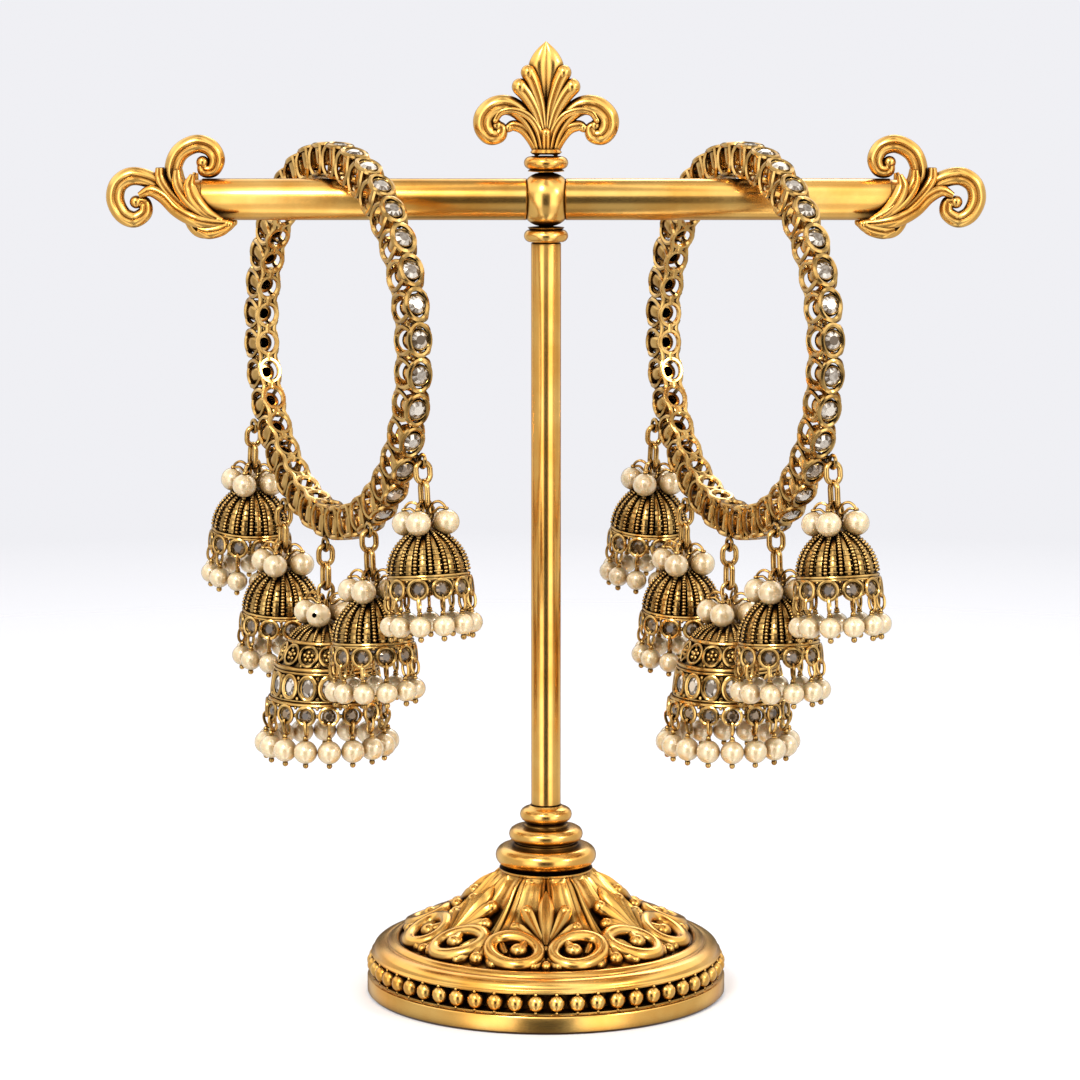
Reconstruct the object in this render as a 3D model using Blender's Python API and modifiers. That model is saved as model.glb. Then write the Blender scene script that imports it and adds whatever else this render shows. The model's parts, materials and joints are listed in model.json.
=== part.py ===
"""A pair of jhumka charm bangles hung on a gilt T-bar display stand.

Metres, +Z up. The origin is the centre of the stand's flat underside, and the crossbar runs along X.
Each bangle is a pierced link band with a row of set stones and carries five bell-shaped drops, every one
on two links, with a cluster of four pearls on top and a pearl fringe below. The middle drop is the large one.
"""

from math import cos, pi, radians, sin, sqrt, tau

import bmesh
import bpy
from mathutils import Matrix, Vector

MM = 0.001
SEAT_GAP = 0.3 * MM

# Stand, from the underside up
FOOT_RADIUS = 33.5 * MM
FOOT_BAND_HEIGHT = 3.4 * MM
BEAD_ROW_RADIUS = 32.6 * MM
BEAD_ROW_HEIGHT = 4.2 * MM
MOULDING_RADIUS = 32.4 * MM
MOULDING_HEIGHT = 2.4 * MM
DISH_RADIUS = 27.6 * MM
FLUTE_FOOT_RADIUS = 19.6 * MM
FLUTE_WAIST_RADIUS = 14.1 * MM
FLUTE_TOP_RADIUS = 8.2 * MM
FLUTE_FOOT_Z = 13.0 * MM
FLUTE_WAIST_Z = 17.2 * MM
FLUTE_TOP_Z = 23.4 * MM
FLUTE_DEPTH = 0.9 * MM
FLUTE_COUNT = 12
COLLAR_TOP_Z = 35.2 * MM
COLLAR_LAND = 0.4 * MM
COLLAR_GROOVE = 0.95 * MM
COLLAR_NECK_RADIUS = 3.1 * MM
# The collar's beads from the post down: radius and height
COLLAR_BEADS = ((4.8 * MM, 2.6 * MM), (6.9 * MM, 2.7 * MM), (9.4 * MM, 3.6 * MM))
POST_RADIUS = 2.75 * MM
HUB_BALL_Z = 148.0 * MM
HUB_BALL_HALF_HEIGHT = 5.4 * MM
HUB_BALL_RADIUS = 4.8 * MM
HUB_RING_RADIUS = 4.0 * MM
HUB_RING_HEIGHT = 2.5 * MM
BAR_RADIUS = 3.8 * MM
BAR_HALF_LENGTH = 62.9 * MM
SCROLL_WIRE_RADIUS = 1.55 * MM
PLUG_LENGTH = 2.6 * MM
PLUG_BAR_END_RADIUS = 3.5 * MM
PLUG_SCROLL_END_RADIUS = 2.66 * MM
SCROLL_SIZE = 24.5 * MM
FINIAL_HEIGHT = 20.4 * MM
FINIAL_WIRE_RADIUS = 1.5 * MM
BAR_SIDES = 16
TURNED_SIDES = 12
PLUG_SIDES = 12

# Bangle band
WRIST_RADIUS = 30.15 * MM
BAND_DEPTH = 6.3 * MM
BAND_WIDTH = 5.0 * MM
HOOP_THICKNESS = 1.0 * MM
LEFT_BANGLE_X = -38.9 * MM
RIGHT_BANGLE_X = 35.8 * MM
LINK_UNITS = 36
CUP_SHARE = 0.48
CUP_MARGIN = 0.55 * MM
CUP_RISE = 0.35 * MM
EYE_WIRE = 0.7 * MM
EYE_BITE = 0.45 * MM
EYE_INSET = 0.42 * MM
EYE_PLAY = 0.2 * MM
EYE_SIDES = 8
EYE_WIRE_SIDES = 4

# Links and bails
LINK_WIRE = 0.8 * MM
JUMP_RING_LENGTH = 4.6 * MM
JUMP_RING_WIDTH = 3.8 * MM
CHAIN_LINK_LENGTH = 5.6 * MM
CHAIN_LINK_WIDTH = 3.6 * MM
LINK_SOLDER = 0.38 * MM
BAIL_WIRE = 0.8 * MM
BAIL_LENGTH = 4.2 * MM
BAIL_WIDTH = 3.7 * MM
LINK_SIDES = 10
BAIL_SIDES = 8
WIRE_SIDES = 5
STEM_RADIUS = 0.6 * MM
WALL = 0.55 * MM

# Pearls
CLUSTER_PEARLS = 4
CLUSTER_PEARL_RADIUS = 2.3 * MM
CLUSTER_RING_RADIUS = 3.95 * MM
PEARL_WIRE_RADIUS = 0.35 * MM
PEARL_STEPS = 4
PEARL_SIDES = 6
PEARL_NECK_SHARE = 0.42
FRINGE_OUTLINE_DEGREES = (20, -50, -130, 160)

# The two kinds of drop: lengths are in metres below the top of the dome
SMALL_DROP = {
    "stem": 1.8 * MM,
    "tiers": ((4.3 * MM, 1.5 * MM), (6.3 * MM, 3.9 * MM), (7.3 * MM, 7.7 * MM)),
    "skirt_radius": 7.5 * MM,
    "skirt_foot": 12.2 * MM,
    "pearls": 11,
    "pearl_radius": 1.95 * MM,
    "pearl_ring": 7.2 * MM,
    "pearl_drop": 16.6 * MM,
    "sides": 10,
}
LARGE_DROP = {
    "stem": 4.0 * MM,
    "tiers": (
        (4.4 * MM, 0.9 * MM), (6.9 * MM, 2.9 * MM), (9.0 * MM, 7.4 * MM),
        (9.6 * MM, 7.9 * MM), (10.5 * MM, 13.9 * MM),
    ),
    "skirt_radius": 11.2 * MM,
    "skirt_foot": 17.7 * MM,
    "pearls": 16,
    "pearl_radius": 2.2 * MM,
    "pearl_ring": 11.4 * MM,
    "pearl_drop": 22.4 * MM,
    "sides": 14,
}

# Where the drops hang: degrees round the band from its lowest point, edge of the band, outward lean
DROPS = (
    {"name": "drop1", "turn": -60, "edge": 1, "lean": -6.5, "kind": SMALL_DROP},
    {"name": "drop2", "turn": -30, "edge": -1, "lean": -4.5, "kind": SMALL_DROP},
    {"name": "main_drop", "turn": 0, "edge": -1, "lean": 0, "kind": LARGE_DROP},
    {"name": "drop3", "turn": 30, "edge": -1, "lean": 4.5, "kind": SMALL_DROP},
    {"name": "drop4", "turn": 60, "edge": -1, "lean": 6.5, "kind": SMALL_DROP},
)
BANGLES = (
    {"name": "left", "along_bar": LEFT_BANGLE_X, "yaw": 27.7},
    {"name": "right", "along_bar": RIGHT_BANGLE_X, "yaw": 23.6},
)

BAND_OUTER_RADIUS = WRIST_RADIUS + BAND_DEPTH
BAND_CENTRE_Z = HUB_BALL_Z + BAR_RADIUS + SEAT_GAP - WRIST_RADIUS
EYE_SIZE = LINK_WIRE + 2 * SEAT_GAP + EYE_PLAY + 2 * EYE_WIRE
EYE_RADIUS = BAND_OUTER_RADIUS + EYE_SIZE / 2 - EYE_BITE
EYE_MIDDLE = BAND_WIDTH / 2 - EYE_INSET
HANG_BELOW_EYE = EYE_SIZE / 2 - EYE_WIRE - SEAT_GAP - LINK_WIRE / 2


def clear_scene():
    for thing in list(bpy.data.objects):
        bpy.data.objects.remove(thing)


def collection(name):
    made = bpy.data.collections.new(name)
    bpy.context.scene.collection.children.link(made)
    return made


def material(name, colour, roughness, metallic):
    made = bpy.data.materials.new(name)
    made.use_nodes = True
    shader = made.node_tree.nodes["Principled BSDF"]
    shader.inputs["Base Color"].default_value = (*colour, 1)
    shader.inputs["Roughness"].default_value = roughness
    shader.inputs["Metallic"].default_value = metallic
    return made


def put(name, data, finish=None, place=None, carrier=None):
    """A named object of the part, with its finish, at its place, riding on its carrier."""
    made = bpy.data.objects.new(name, data)
    (PARTS if finish else HELPERS).objects.link(made)
    if finish:
        data.materials.append(finish)
    else:
        made.hide_render = True
        made.display_type = "WIRE"
    if carrier:
        made.parent = carrier
    if place:
        made.matrix_basis = place
    return made


def frame_empty(name, place, carrier=None):
    made = bpy.data.objects.new(name, None)
    PARTS.objects.link(made)
    made.parent = carrier
    made.matrix_basis = place
    return made


def mesh_of(name, build):
    """A mesh from a bmesh that build fills, with its faces pointing out."""
    shape = bmesh.new()
    build(shape)
    bmesh.ops.recalc_face_normals(shape, faces=shape.faces)
    made = bpy.data.meshes.new(name)
    shape.to_mesh(made)
    shape.free()
    made.shade_smooth()
    made.set_sharp_from_angle(angle=radians(35))
    return made


def profile_mesh(name, profile):
    """A profile of (radius, height) points in the XZ plane, for a Screw modifier to turn."""
    made = bpy.data.meshes.new(name)
    points = [(radius, 0, height) for radius, height in profile]
    made.from_pydata(points, [(i, i + 1) for i in range(len(points) - 1)], [])
    return made


def turn(thing, sides):
    """A Screw about the object's Z axis, which closes on the axis at both ends of the profile."""
    screw = thing.modifiers.new("turn", "SCREW")
    screw.steps = screw.render_steps = sides
    screw.use_merge_vertices = True
    screw.merge_threshold = 0.00001
    screw.use_smooth_shade = True
    return thing


def join(thing, other):
    """A Boolean union of a helper object into thing."""
    union = thing.modifiers.new("join_" + other.name, "BOOLEAN")
    union.operation = "UNION"
    union.object = other


def cut(thing, cutter):
    difference = thing.modifiers.new("cut_" + cutter.name, "BOOLEAN")
    difference.object = cutter


def ring_of_sections(shape, sections):
    """Quads between closed sections that follow each other round a closed loop."""
    rows = [[shape.verts.new(point) for point in section] for section in sections]
    for row, following in zip(rows, rows[1:] + rows[:1]):
        for i in range(len(row)):
            j = (i + 1) % len(row)
            shape.faces.new((row[i], row[j], following[j], following[i]))


def rounded_bead(radius, height):
    """Points of a turned bead moulding, from its top edge to its bottom edge, as shares of its height."""
    shares = ((0.72, 0.5), (0.93, 0.3), (1.0, 0.0), (0.93, -0.3), (0.72, -0.5))
    low = radius - height / 2
    return [(low + (radius - low) * (share - 0.5) * 2, height * level) for share, level in shares]


# Stand


def fluted_foot_mesh():
    """The foot: a turned outline whose bell is drawn in to flutes, with a flat underside."""
    row_z = FOOT_BAND_HEIGHT
    moulding_z = row_z + BEAD_ROW_HEIGHT
    dish_z = moulding_z + MOULDING_HEIGHT
    outline = (
        (FOOT_RADIUS, 0, 0),
        (FOOT_RADIUS, row_z, 0),
        (BEAD_ROW_RADIUS, row_z + BEAD_ROW_HEIGHT / 2, 0),
        (MOULDING_RADIUS, moulding_z, 0),
        (DISH_RADIUS, dish_z, 0),
        (FLUTE_FOOT_RADIUS, FLUTE_FOOT_Z, 0.4),
        (FLUTE_WAIST_RADIUS, FLUTE_WAIST_Z, 1),
        (FLUTE_TOP_RADIUS, FLUTE_TOP_Z, 0.4),
    )

    def build(shape):
        sides = 2 * FLUTE_COUNT
        rows = []
        for radius, height, fluted in outline:
            row = []
            for step in range(sides):
                drawn = radius - (step % 2) * fluted * FLUTE_DEPTH
                angle = tau * step / sides
                row.append(shape.verts.new((drawn * cos(angle), drawn * sin(angle), height)))
            rows.append(row)
        for row, following in zip(rows, rows[1:]):
            for i in range(sides):
                j = (i + 1) % sides
                shape.faces.new((row[i], row[j], following[j], following[i]))
        shape.faces.new(rows[0])
        shape.faces.new(rows[-1])

    return mesh_of("foot", build)


def collar_profile():
    """Three stacked bead mouldings with necks between them, from the post down to the foot."""
    bottom = FLUTE_TOP_Z + SEAT_GAP
    points = [(0, COLLAR_TOP_Z), (COLLAR_NECK_RADIUS, COLLAR_TOP_Z)]
    top = COLLAR_TOP_Z - COLLAR_LAND
    for radius, height in COLLAR_BEADS:
        points += [(reach, top - height / 2 + up) for reach, up in rounded_bead(radius, height)]
        top -= height + COLLAR_GROOVE
    return points + [(FLUTE_TOP_RADIUS, bottom), (0, bottom)]


def hub_profile():
    """The ball between two rings, from the finial's seat down to the post's."""
    half = HUB_BALL_HALF_HEIGHT
    ring_rise = half + HUB_RING_HEIGHT / 2
    top = half + HUB_RING_HEIGHT
    bead = rounded_bead(HUB_RING_RADIUS, HUB_RING_HEIGHT)
    points = [(0, top), *((reach, ring_rise + up) for reach, up in bead)]
    for step in range(1, 6):
        angle = pi / 2 - pi * step / 6
        points.append((HUB_BALL_RADIUS * cos(angle) ** 0.8, half * sin(angle)))
    points += [(reach, up - ring_rise) for reach, up in bead]
    return points + [(0, -top)]


def swept(name, path, radii, sides=6, flatten=1):
    """A helper mesh: a tapering round bar along a path in the XZ plane, its ends filled."""
    curve = bpy.data.curves.new(name, "CURVE")
    curve.dimensions = "3D"
    curve.bevel_depth = 1
    curve.bevel_resolution = (sides - 4) // 2
    curve.use_fill_caps = True
    spline = curve.splines.new("POLY")
    spline.points.add(len(path) - 1)
    for point, (across, up), radius in zip(spline.points, path, radii):
        point.co = (across, 0, up, 1)
        point.radius = radius
    bar = put(name + "_curve", curve)
    bpy.context.view_layer.update()
    made = bpy.data.meshes.new_from_object(bar.evaluated_get(bpy.context.evaluated_depsgraph_get()))
    bpy.data.objects.remove(bar)
    shape = bmesh.new()
    shape.from_mesh(made)
    bmesh.ops.remove_doubles(shape, verts=shape.verts, dist=0.00001)
    for corner in shape.verts:
        corner.co.y *= flatten
    bmesh.ops.recalc_face_normals(shape, faces=shape.faces)
    shape.to_mesh(made)
    shape.free()
    return made


# Each row is a point of a cast scroll: across and up as shares of its size, then its thickness as a share
SCROLL_OUTER = (
    (0.00, -0.08, 0.7), (-0.10, 0.00, 0.8), (-0.19, 0.07, 0.85), (-0.33, 0.15, 0.95), (-0.46, 0.18, 1),
    (-0.56, 0.11, 1), (-0.58, 0.00, 1), (-0.53, -0.11, 0.95), (-0.44, -0.15, 0.85), (-0.37, -0.10, 0.65),
    (-0.40, -0.04, 0.45),
)
SCROLL_UPPER = (
    (0.00, -0.08, 0.6), (-0.11, 0.08, 0.8), (-0.15, 0.22, 0.95), (-0.10, 0.35, 1), (0.02, 0.43, 1),
    (0.14, 0.40, 0.95), (0.18, 0.31, 0.75), (0.10, 0.26, 0.45),
)
SCROLL_HEEL = (
    (-0.04, -0.10, 0.8), (-0.01, -0.20, 0.8), (0.06, -0.25, 0.8), (0.17, -0.245, 0.7), (0.27, -0.22, 0.35),
)
FINIAL_BUD = ((0, 0.0, 1.25), (0, 0.3, 0.8), (0, 0.6, 1.25), (0, 0.78, 1.9), (0, 0.9, 1.35), (0, 1.0, 0.15))
FINIAL_SCROLL = (
    (0.04, 0.08, 0.75), (0.13, 0.3, 0.8), (0.30, 0.45, 0.9), (0.47, 0.46, 1), (0.56, 0.34, 1),
    (0.52, 0.2, 0.85), (0.41, 0.15, 0.7), (0.38, 0.24, 0.45),
)
FINIAL_LOBES = (
    ((0.03, 0.3, 0.4), (0.12, 0.58, 0.7), (0.17, 0.76, 0.72)),
    ((0.04, 0.22, 0.4), (0.16, 0.46, 0.7), (0.25, 0.62, 0.72)),
)


def scaled(rows, size, wire, side=1):
    path = [(side * across * size, up * size) for across, up, _ in rows]
    return path, [share * wire for _, _, share in rows]


def build_stand(gold):
    put("stand_foot", fluted_foot_mesh(), gold)
    turn(put("stand_collar", profile_mesh("collar", collar_profile()), gold), TURNED_SIDES)
    hub_foot = HUB_BALL_Z - HUB_BALL_HALF_HEIGHT - HUB_RING_HEIGHT
    post_length = hub_foot - COLLAR_TOP_Z - 2 * SEAT_GAP
    middle = COLLAR_TOP_Z + SEAT_GAP + post_length / 2
    add_rod("stand_post", POST_RADIUS, post_length, gold, Matrix.Translation((0, 0, middle)))
    hub = put("stand_hub", profile_mesh("hub", hub_profile()), gold, Matrix.Translation((0, 0, HUB_BALL_Z)))
    turn(hub, TURNED_SIDES)
    build_arms(gold)
    for side, name in ((1, "left"), (-1, "right")):
        build_scroll("stand_scroll_" + name, side, gold)
    build_finial(gold)


def add_rod(name, radius, length, finish, place):
    def build(shape):
        bmesh.ops.create_cone(
            shape, cap_ends=True, segments=BAR_SIDES, radius1=radius, radius2=radius, depth=length
        )

    return put(name, mesh_of(name, build), finish, place)


def build_arms(gold):
    """Two arms of the crossbar, hollowed at the inner end to sit against the ball."""

    def ball(shape):
        bmesh.ops.create_uvsphere(shape, u_segments=16, v_segments=8, radius=1)
        widen = HUB_BALL_RADIUS + SEAT_GAP
        tall = HUB_BALL_HALF_HEIGHT + 2 * SEAT_GAP
        bmesh.ops.scale(shape, vec=(widen, widen, tall), verts=shape.verts)

    hollow = put("ball_hollow", mesh_of("ball_hollow", ball), place=Matrix.Translation((0, 0, HUB_BALL_Z)))
    inner_end = HUB_BALL_RADIUS / 2
    length = BAR_HALF_LENGTH - inner_end
    for side, name in ((-1, "left"), (1, "right")):
        middle = Matrix.Translation((side * (inner_end + length / 2), 0, HUB_BALL_Z))
        arm = add_rod("stand_arm_" + name, BAR_RADIUS, length, gold, middle @ Matrix.Rotation(pi / 2, 4, "Y"))
        cut(arm, hollow)


def build_scroll(name, side, gold):
    """The cast scroll on the end of an arm: two curls and a heel round a short plug."""
    plug_middle = BAR_HALF_LENGTH + SEAT_GAP + PLUG_LENGTH / 2
    across = -side * plug_middle
    place = Matrix.Translation((across, 0, HUB_BALL_Z))

    def plug(shape):
        bmesh.ops.create_cone(
            shape,
            cap_ends=True,
            segments=PLUG_SIDES,
            radius1=PLUG_BAR_END_RADIUS,
            radius2=PLUG_SCROLL_END_RADIUS,
            depth=PLUG_LENGTH,
        )
        along_bar = Matrix.Rotation(-side * pi / 2, 3, "Y")
        bmesh.ops.rotate(shape, cent=(0, 0, 0), matrix=along_bar, verts=shape.verts)

    scroll = put(name, mesh_of(name, plug), gold, place)
    rows = (("outer", SCROLL_OUTER), ("upper", SCROLL_UPPER), ("heel", SCROLL_HEEL))
    for label, table in rows:
        path, radii = scaled(table, SCROLL_SIZE, SCROLL_WIRE_RADIUS, side)
        piece = put(f"{name}_{label}", swept(label, path, radii), place=place)
        join(scroll, piece)


def build_finial(gold):
    """The lily finial: a tall bud between two pairs of lobes, over a pair of curls."""
    seat = HUB_BALL_Z + HUB_BALL_HALF_HEIGHT + HUB_RING_HEIGHT + SEAT_GAP
    place = Matrix.Translation((0, 0, seat))
    path, radii = scaled(FINIAL_BUD, FINIAL_HEIGHT, FINIAL_WIRE_RADIUS)
    finial = put("stand_finial", swept("bud", path, radii, 8, 0.8), gold, place)
    for index, rows in enumerate((FINIAL_SCROLL, *FINIAL_LOBES)):
        for side in (1, -1):
            path, radii = scaled(rows, FINIAL_HEIGHT, FINIAL_WIRE_RADIUS, side)
            name = f"finial_{index}_{'r' if side > 0 else 'l'}"
            piece = put(name, swept("petal", path, radii), place=place)
            join(finial, piece)


# Bangles


def band_mesh():
    """The band about the X axis: two hoops joined at each stone's cup, open through the sides between cups.

    The lowest point of the band has an opening, and a cup stands half a unit to each side of it.
    """
    half = BAND_WIDTH / 2
    levels = (
        BAND_OUTER_RADIUS,
        BAND_OUTER_RADIUS - HOOP_THICKNESS,
        WRIST_RADIUS + HOOP_THICKNESS,
        WRIST_RADIUS,
    )
    pitch = tau / LINK_UNITS
    cup = pitch * CUP_SHARE / 2

    def build(shape):
        rings = []
        for unit in range(LINK_UNITS):
            middle = (unit + 0.5) * pitch
            for angle in (middle - cup, middle + cup):
                ring = []
                for level in levels:
                    spots = [(across, sin(angle) * level, -cos(angle) * level) for across in (-half, half)]
                    ring.append([shape.verts.new(spot) for spot in spots])
                rings.append(ring)
        cups = []
        for index, here in enumerate(rings):
            there = rings[(index + 1) % len(rings)]
            face = shape.faces.new((here[0][0], here[0][1], there[0][1], there[0][0]))
            shape.faces.new((here[3][0], there[3][0], there[3][1], here[3][1]))
            for edge in (0, 1):
                for level in (0, 2):
                    top, foot = level, level + 1
                    shape.faces.new((here[top][edge], here[foot][edge], there[foot][edge], there[top][edge]))
            if index % 2 == 0:
                cups.append(face)
                for edge in (0, 1):
                    shape.faces.new((here[1][edge], here[2][edge], there[2][edge], there[1][edge]))
            else:
                shape.faces.new((here[1][0], there[1][0], there[1][1], here[1][1]))
                shape.faces.new((here[2][0], here[2][1], there[2][1], there[2][0]))
            shape.faces.new((here[1][0], here[1][1], here[2][1], here[2][0]))
        bmesh.ops.recalc_face_normals(shape, faces=shape.faces)
        bmesh.ops.inset_individual(shape, faces=cups, thickness=CUP_MARGIN / 2, depth=CUP_RISE)

    return mesh_of("band", build)


def link_mesh(name, length, width, wire, sides=LINK_SIDES, wire_sides=WIRE_SIDES):
    """An oval link standing in the XZ plane, centred on its own middle."""
    stretch = (length - width) / 2

    def build(shape):
        sections = []
        for step in range(sides):
            angle = tau * (step + 0.5) / sides
            section = []
            for side in range(wire_sides):
                turned = tau * side / wire_sides
                reach = (width - wire) / 2 + wire / 2 * cos(turned)
                lift = stretch if sin(angle) > 0 else -stretch
                section.append((reach * cos(angle), wire / 2 * sin(turned), reach * sin(angle) + lift))
            sections.append(section)
        ring_of_sections(shape, sections)

    return mesh_of(name, build)


def pearl_ring_mesh(name, count, ring_radius, pearl_radius):
    """Pearls side by side on a wire ring about Z. Each has a few sections between one neck and the next."""
    pitch = tau / count

    def build(shape):
        sections = []
        for pearl in range(count):
            for step in range(PEARL_STEPS):
                along = step / PEARL_STEPS - 0.5
                angle = (pearl + along) * pitch
                across = abs(along) * pitch * ring_radius
                swell = sqrt(max(pearl_radius**2 - across**2, 0))
                size = max(swell, PEARL_WIRE_RADIUS)
                section = []
                for side in range(PEARL_SIDES):
                    turned = tau * side / PEARL_SIDES
                    reach = ring_radius + size * cos(turned)
                    section.append((reach * cos(angle), reach * sin(angle), size * sin(turned)))
                sections.append(section)
        ring_of_sections(shape, sections)

    return mesh_of(name, build)


def fringe_mesh(name, kind):
    """The pearl fringe about Z, its wire hooks drawn up as points to just under the skirt."""
    count = kind["pearls"]
    ring_radius = kind["pearl_ring"]
    pearl = kind["pearl_radius"]
    rise = kind["pearl_drop"] - kind["skirt_foot"] - SEAT_GAP
    hook_reach = kind["skirt_radius"] - WALL / 2 - ring_radius
    pitch = tau / count

    def build(shape):
        sections = []
        for step in range(2 * count):
            at_pearl = step % 2 == 0
            angle = step * pitch / 2
            size = pearl if at_pearl else pearl * PEARL_NECK_SHARE
            turns = (radians(degrees) for degrees in FRINGE_OUTLINE_DEGREES)
            outline = [(size * cos(turned), size * sin(turned)) for turned in turns]
            if at_pearl:
                hook = [(hook_reach - WALL / 2, rise), (hook_reach + WALL / 2, rise)]
            else:
                hook = [(-WALL / 3, size), (WALL / 3, size)]
            section = []
            for reach, lift in outline + hook:
                radius = ring_radius + reach
                section.append((radius * cos(angle), radius * sin(angle), lift))
            sections.append(section)
        ring_of_sections(shape, sections)

    return mesh_of(name, build)


def dome_profile(kind):
    """The dome's section: stem, outer wall, foot of the skirt, and the inner wall back to the axis."""
    foot = kind["skirt_foot"]
    outer = [(radius, -depth) for radius, depth in kind["tiers"]]
    inner = [(radius - WALL, -depth - WALL / 2) for radius, depth in reversed(kind["tiers"][1:-1])]
    stem_top = kind["stem"] + BAIL_WIRE / 2
    return [
        (0, stem_top),
        (STEM_RADIUS, stem_top),
        (STEM_RADIUS, 0),
        *outer,
        (kind["skirt_radius"], -foot),
        (kind["skirt_radius"] - WALL, -foot),
        *inner,
        (0, -WALL * 1.6),
    ]


def eye_centre(drop):
    """The middle of the small eye on the band's edge that a drop hangs from."""
    angle = radians(drop["turn"])
    return Vector((drop["edge"] * EYE_MIDDLE, sin(angle) * EYE_RADIUS, -cos(angle) * EYE_RADIUS))


def build_band(bangle, gold):
    """The band of one bangle and the empty at its centre, turned about the vertical on the bar."""
    centre = Matrix.Translation((bangle["along_bar"], 0, BAND_CENTRE_Z))
    yawed = centre @ Matrix.Rotation(radians(bangle["yaw"]), 4, "Z")
    carrier = frame_empty(bangle["name"] + "_bangle_centre", yawed)
    band = put(bangle["name"] + "_band", band_mesh(), gold, carrier=carrier)
    eye = link_mesh("eye", EYE_SIZE, EYE_SIZE, EYE_WIRE, EYE_SIDES, EYE_WIRE_SIDES)
    for drop in DROPS:
        place = Matrix.Translation(eye_centre(drop)) @ Matrix.Rotation(pi / 2, 4, "Z")
        join(band, put(f"{bangle['name']}_{drop['name']}_eye", eye, place=place, carrier=carrier))
    return carrier


def drop_levels(kind):
    """Heights below the hanging point of the jump ring, the chain link, the bail and the dome's top."""
    ring = (JUMP_RING_LENGTH - LINK_WIRE) / 2
    link_top = 2 * ring - LINK_WIRE + LINK_SOLDER
    link = link_top + (CHAIN_LINK_LENGTH - LINK_WIRE) / 2
    link_foot = link_top + CHAIN_LINK_LENGTH - LINK_WIRE
    bail_top = link_foot - LINK_WIRE / 2 - BAIL_WIRE / 2 - SEAT_GAP
    bail = bail_top + (BAIL_LENGTH - BAIL_WIRE) / 2
    dome = bail_top + BAIL_LENGTH - BAIL_WIRE + kind["stem"]
    return {"ring": ring, "link": link, "link_foot": link_foot, "bail": bail, "dome": dome}


def cluster_height(kind):
    """How far above the dome's top the four pearls lie when they rest on its shoulder."""
    reach = CLUSTER_PEARL_RADIUS + SEAT_GAP
    shoulder = [(radius, -depth) for radius, depth in kind["tiers"]]
    height = 0.0
    for (near, low), (far, lower) in zip([(STEM_RADIUS, 0.0), *shoulder], shoulder):
        for step in range(21):
            radius = near + (far - near) * step / 20
            level = low + (lower - low) * step / 20
            away = abs(CLUSTER_RING_RADIUS - radius)
            if away < reach:
                height = max(height, level + sqrt(reach**2 - away**2))
    return height


def build_drop(bangle, drop, carrier, finishes):
    """One jhumka: two links, the bail and dome, the pearl cluster and the pearl fringe."""
    kind = drop["kind"]
    levels = drop_levels(kind)
    hang = eye_centre(drop) - Vector((0, 0, HANG_BELOW_EYE))
    name = f"{bangle['name']}_{drop['name']}"
    place = Matrix.Translation(hang) @ Matrix.Rotation(radians(drop["lean"]), 4, "X")
    hanger = frame_empty(name + "_hanger", place, carrier)
    down = {key: Matrix.Translation((0, 0, -depth)) for key, depth in levels.items()}
    quarter = Matrix.Rotation(pi / 2, 4, "Z")

    ring = link_mesh("jump_ring", JUMP_RING_LENGTH, JUMP_RING_WIDTH, LINK_WIRE)
    link = link_mesh("chain_link", CHAIN_LINK_LENGTH, CHAIN_LINK_WIDTH, LINK_WIRE)
    chain = put(name + "_chain", ring, finishes["metal"], down["ring"], hanger)
    join(chain, put(name + "_second_link", link, place=down["link"] @ quarter, carrier=hanger))

    bell = profile_mesh("dome", dome_profile(kind))
    dome = put(name + "_dome", bell, finishes["metal"], down["dome"], hanger)
    turn(dome, kind["sides"])
    bail = link_mesh("bail", BAIL_LENGTH, BAIL_WIDTH, BAIL_WIRE, BAIL_SIDES)
    join(dome, put(name + "_bail", bail, place=down["bail"], carrier=hanger))

    cluster = pearl_ring_mesh("cluster", CLUSTER_PEARLS, CLUSTER_RING_RADIUS, CLUSTER_PEARL_RADIUS)
    above = Matrix.Translation((0, 0, cluster_height(kind))) @ Matrix.Rotation(pi / 4, 4, "Z")
    put(name + "_pearls", cluster, finishes["pearl"], down["dome"] @ above, hanger)

    below = Matrix.Translation((0, 0, -kind["pearl_drop"]))
    put(name + "_fringe", fringe_mesh("fringe", kind), finishes["pearl"], down["dome"] @ below, hanger)


clear_scene()
PARTS = collection("jhumka_bangles_on_stand")
HELPERS = collection("cutters")
polished_gold = material("polished_gold", (0.83, 0.53, 0.16), 0.22, 1.0)
antique_gold = material("antique_gold", (0.46, 0.28, 0.09), 0.34, 1.0)
pearl_cream = material("pearl_cream", (0.93, 0.84, 0.66), 0.2, 0.0)

build_stand(polished_gold)
for each in BANGLES:
    ring_centre = build_band(each, antique_gold)
    for charm in DROPS:
        build_drop(each, charm, ring_centre, {"metal": antique_gold, "pearl": pearl_cream})
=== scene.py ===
"""Dresses a pair of jhumka charm bangles and the gilt stand that they hang on.

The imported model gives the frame. Every form here is worked out in millimetres, in the same places as the
frame's, and becomes a mesh in metres at the end.
"""

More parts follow.
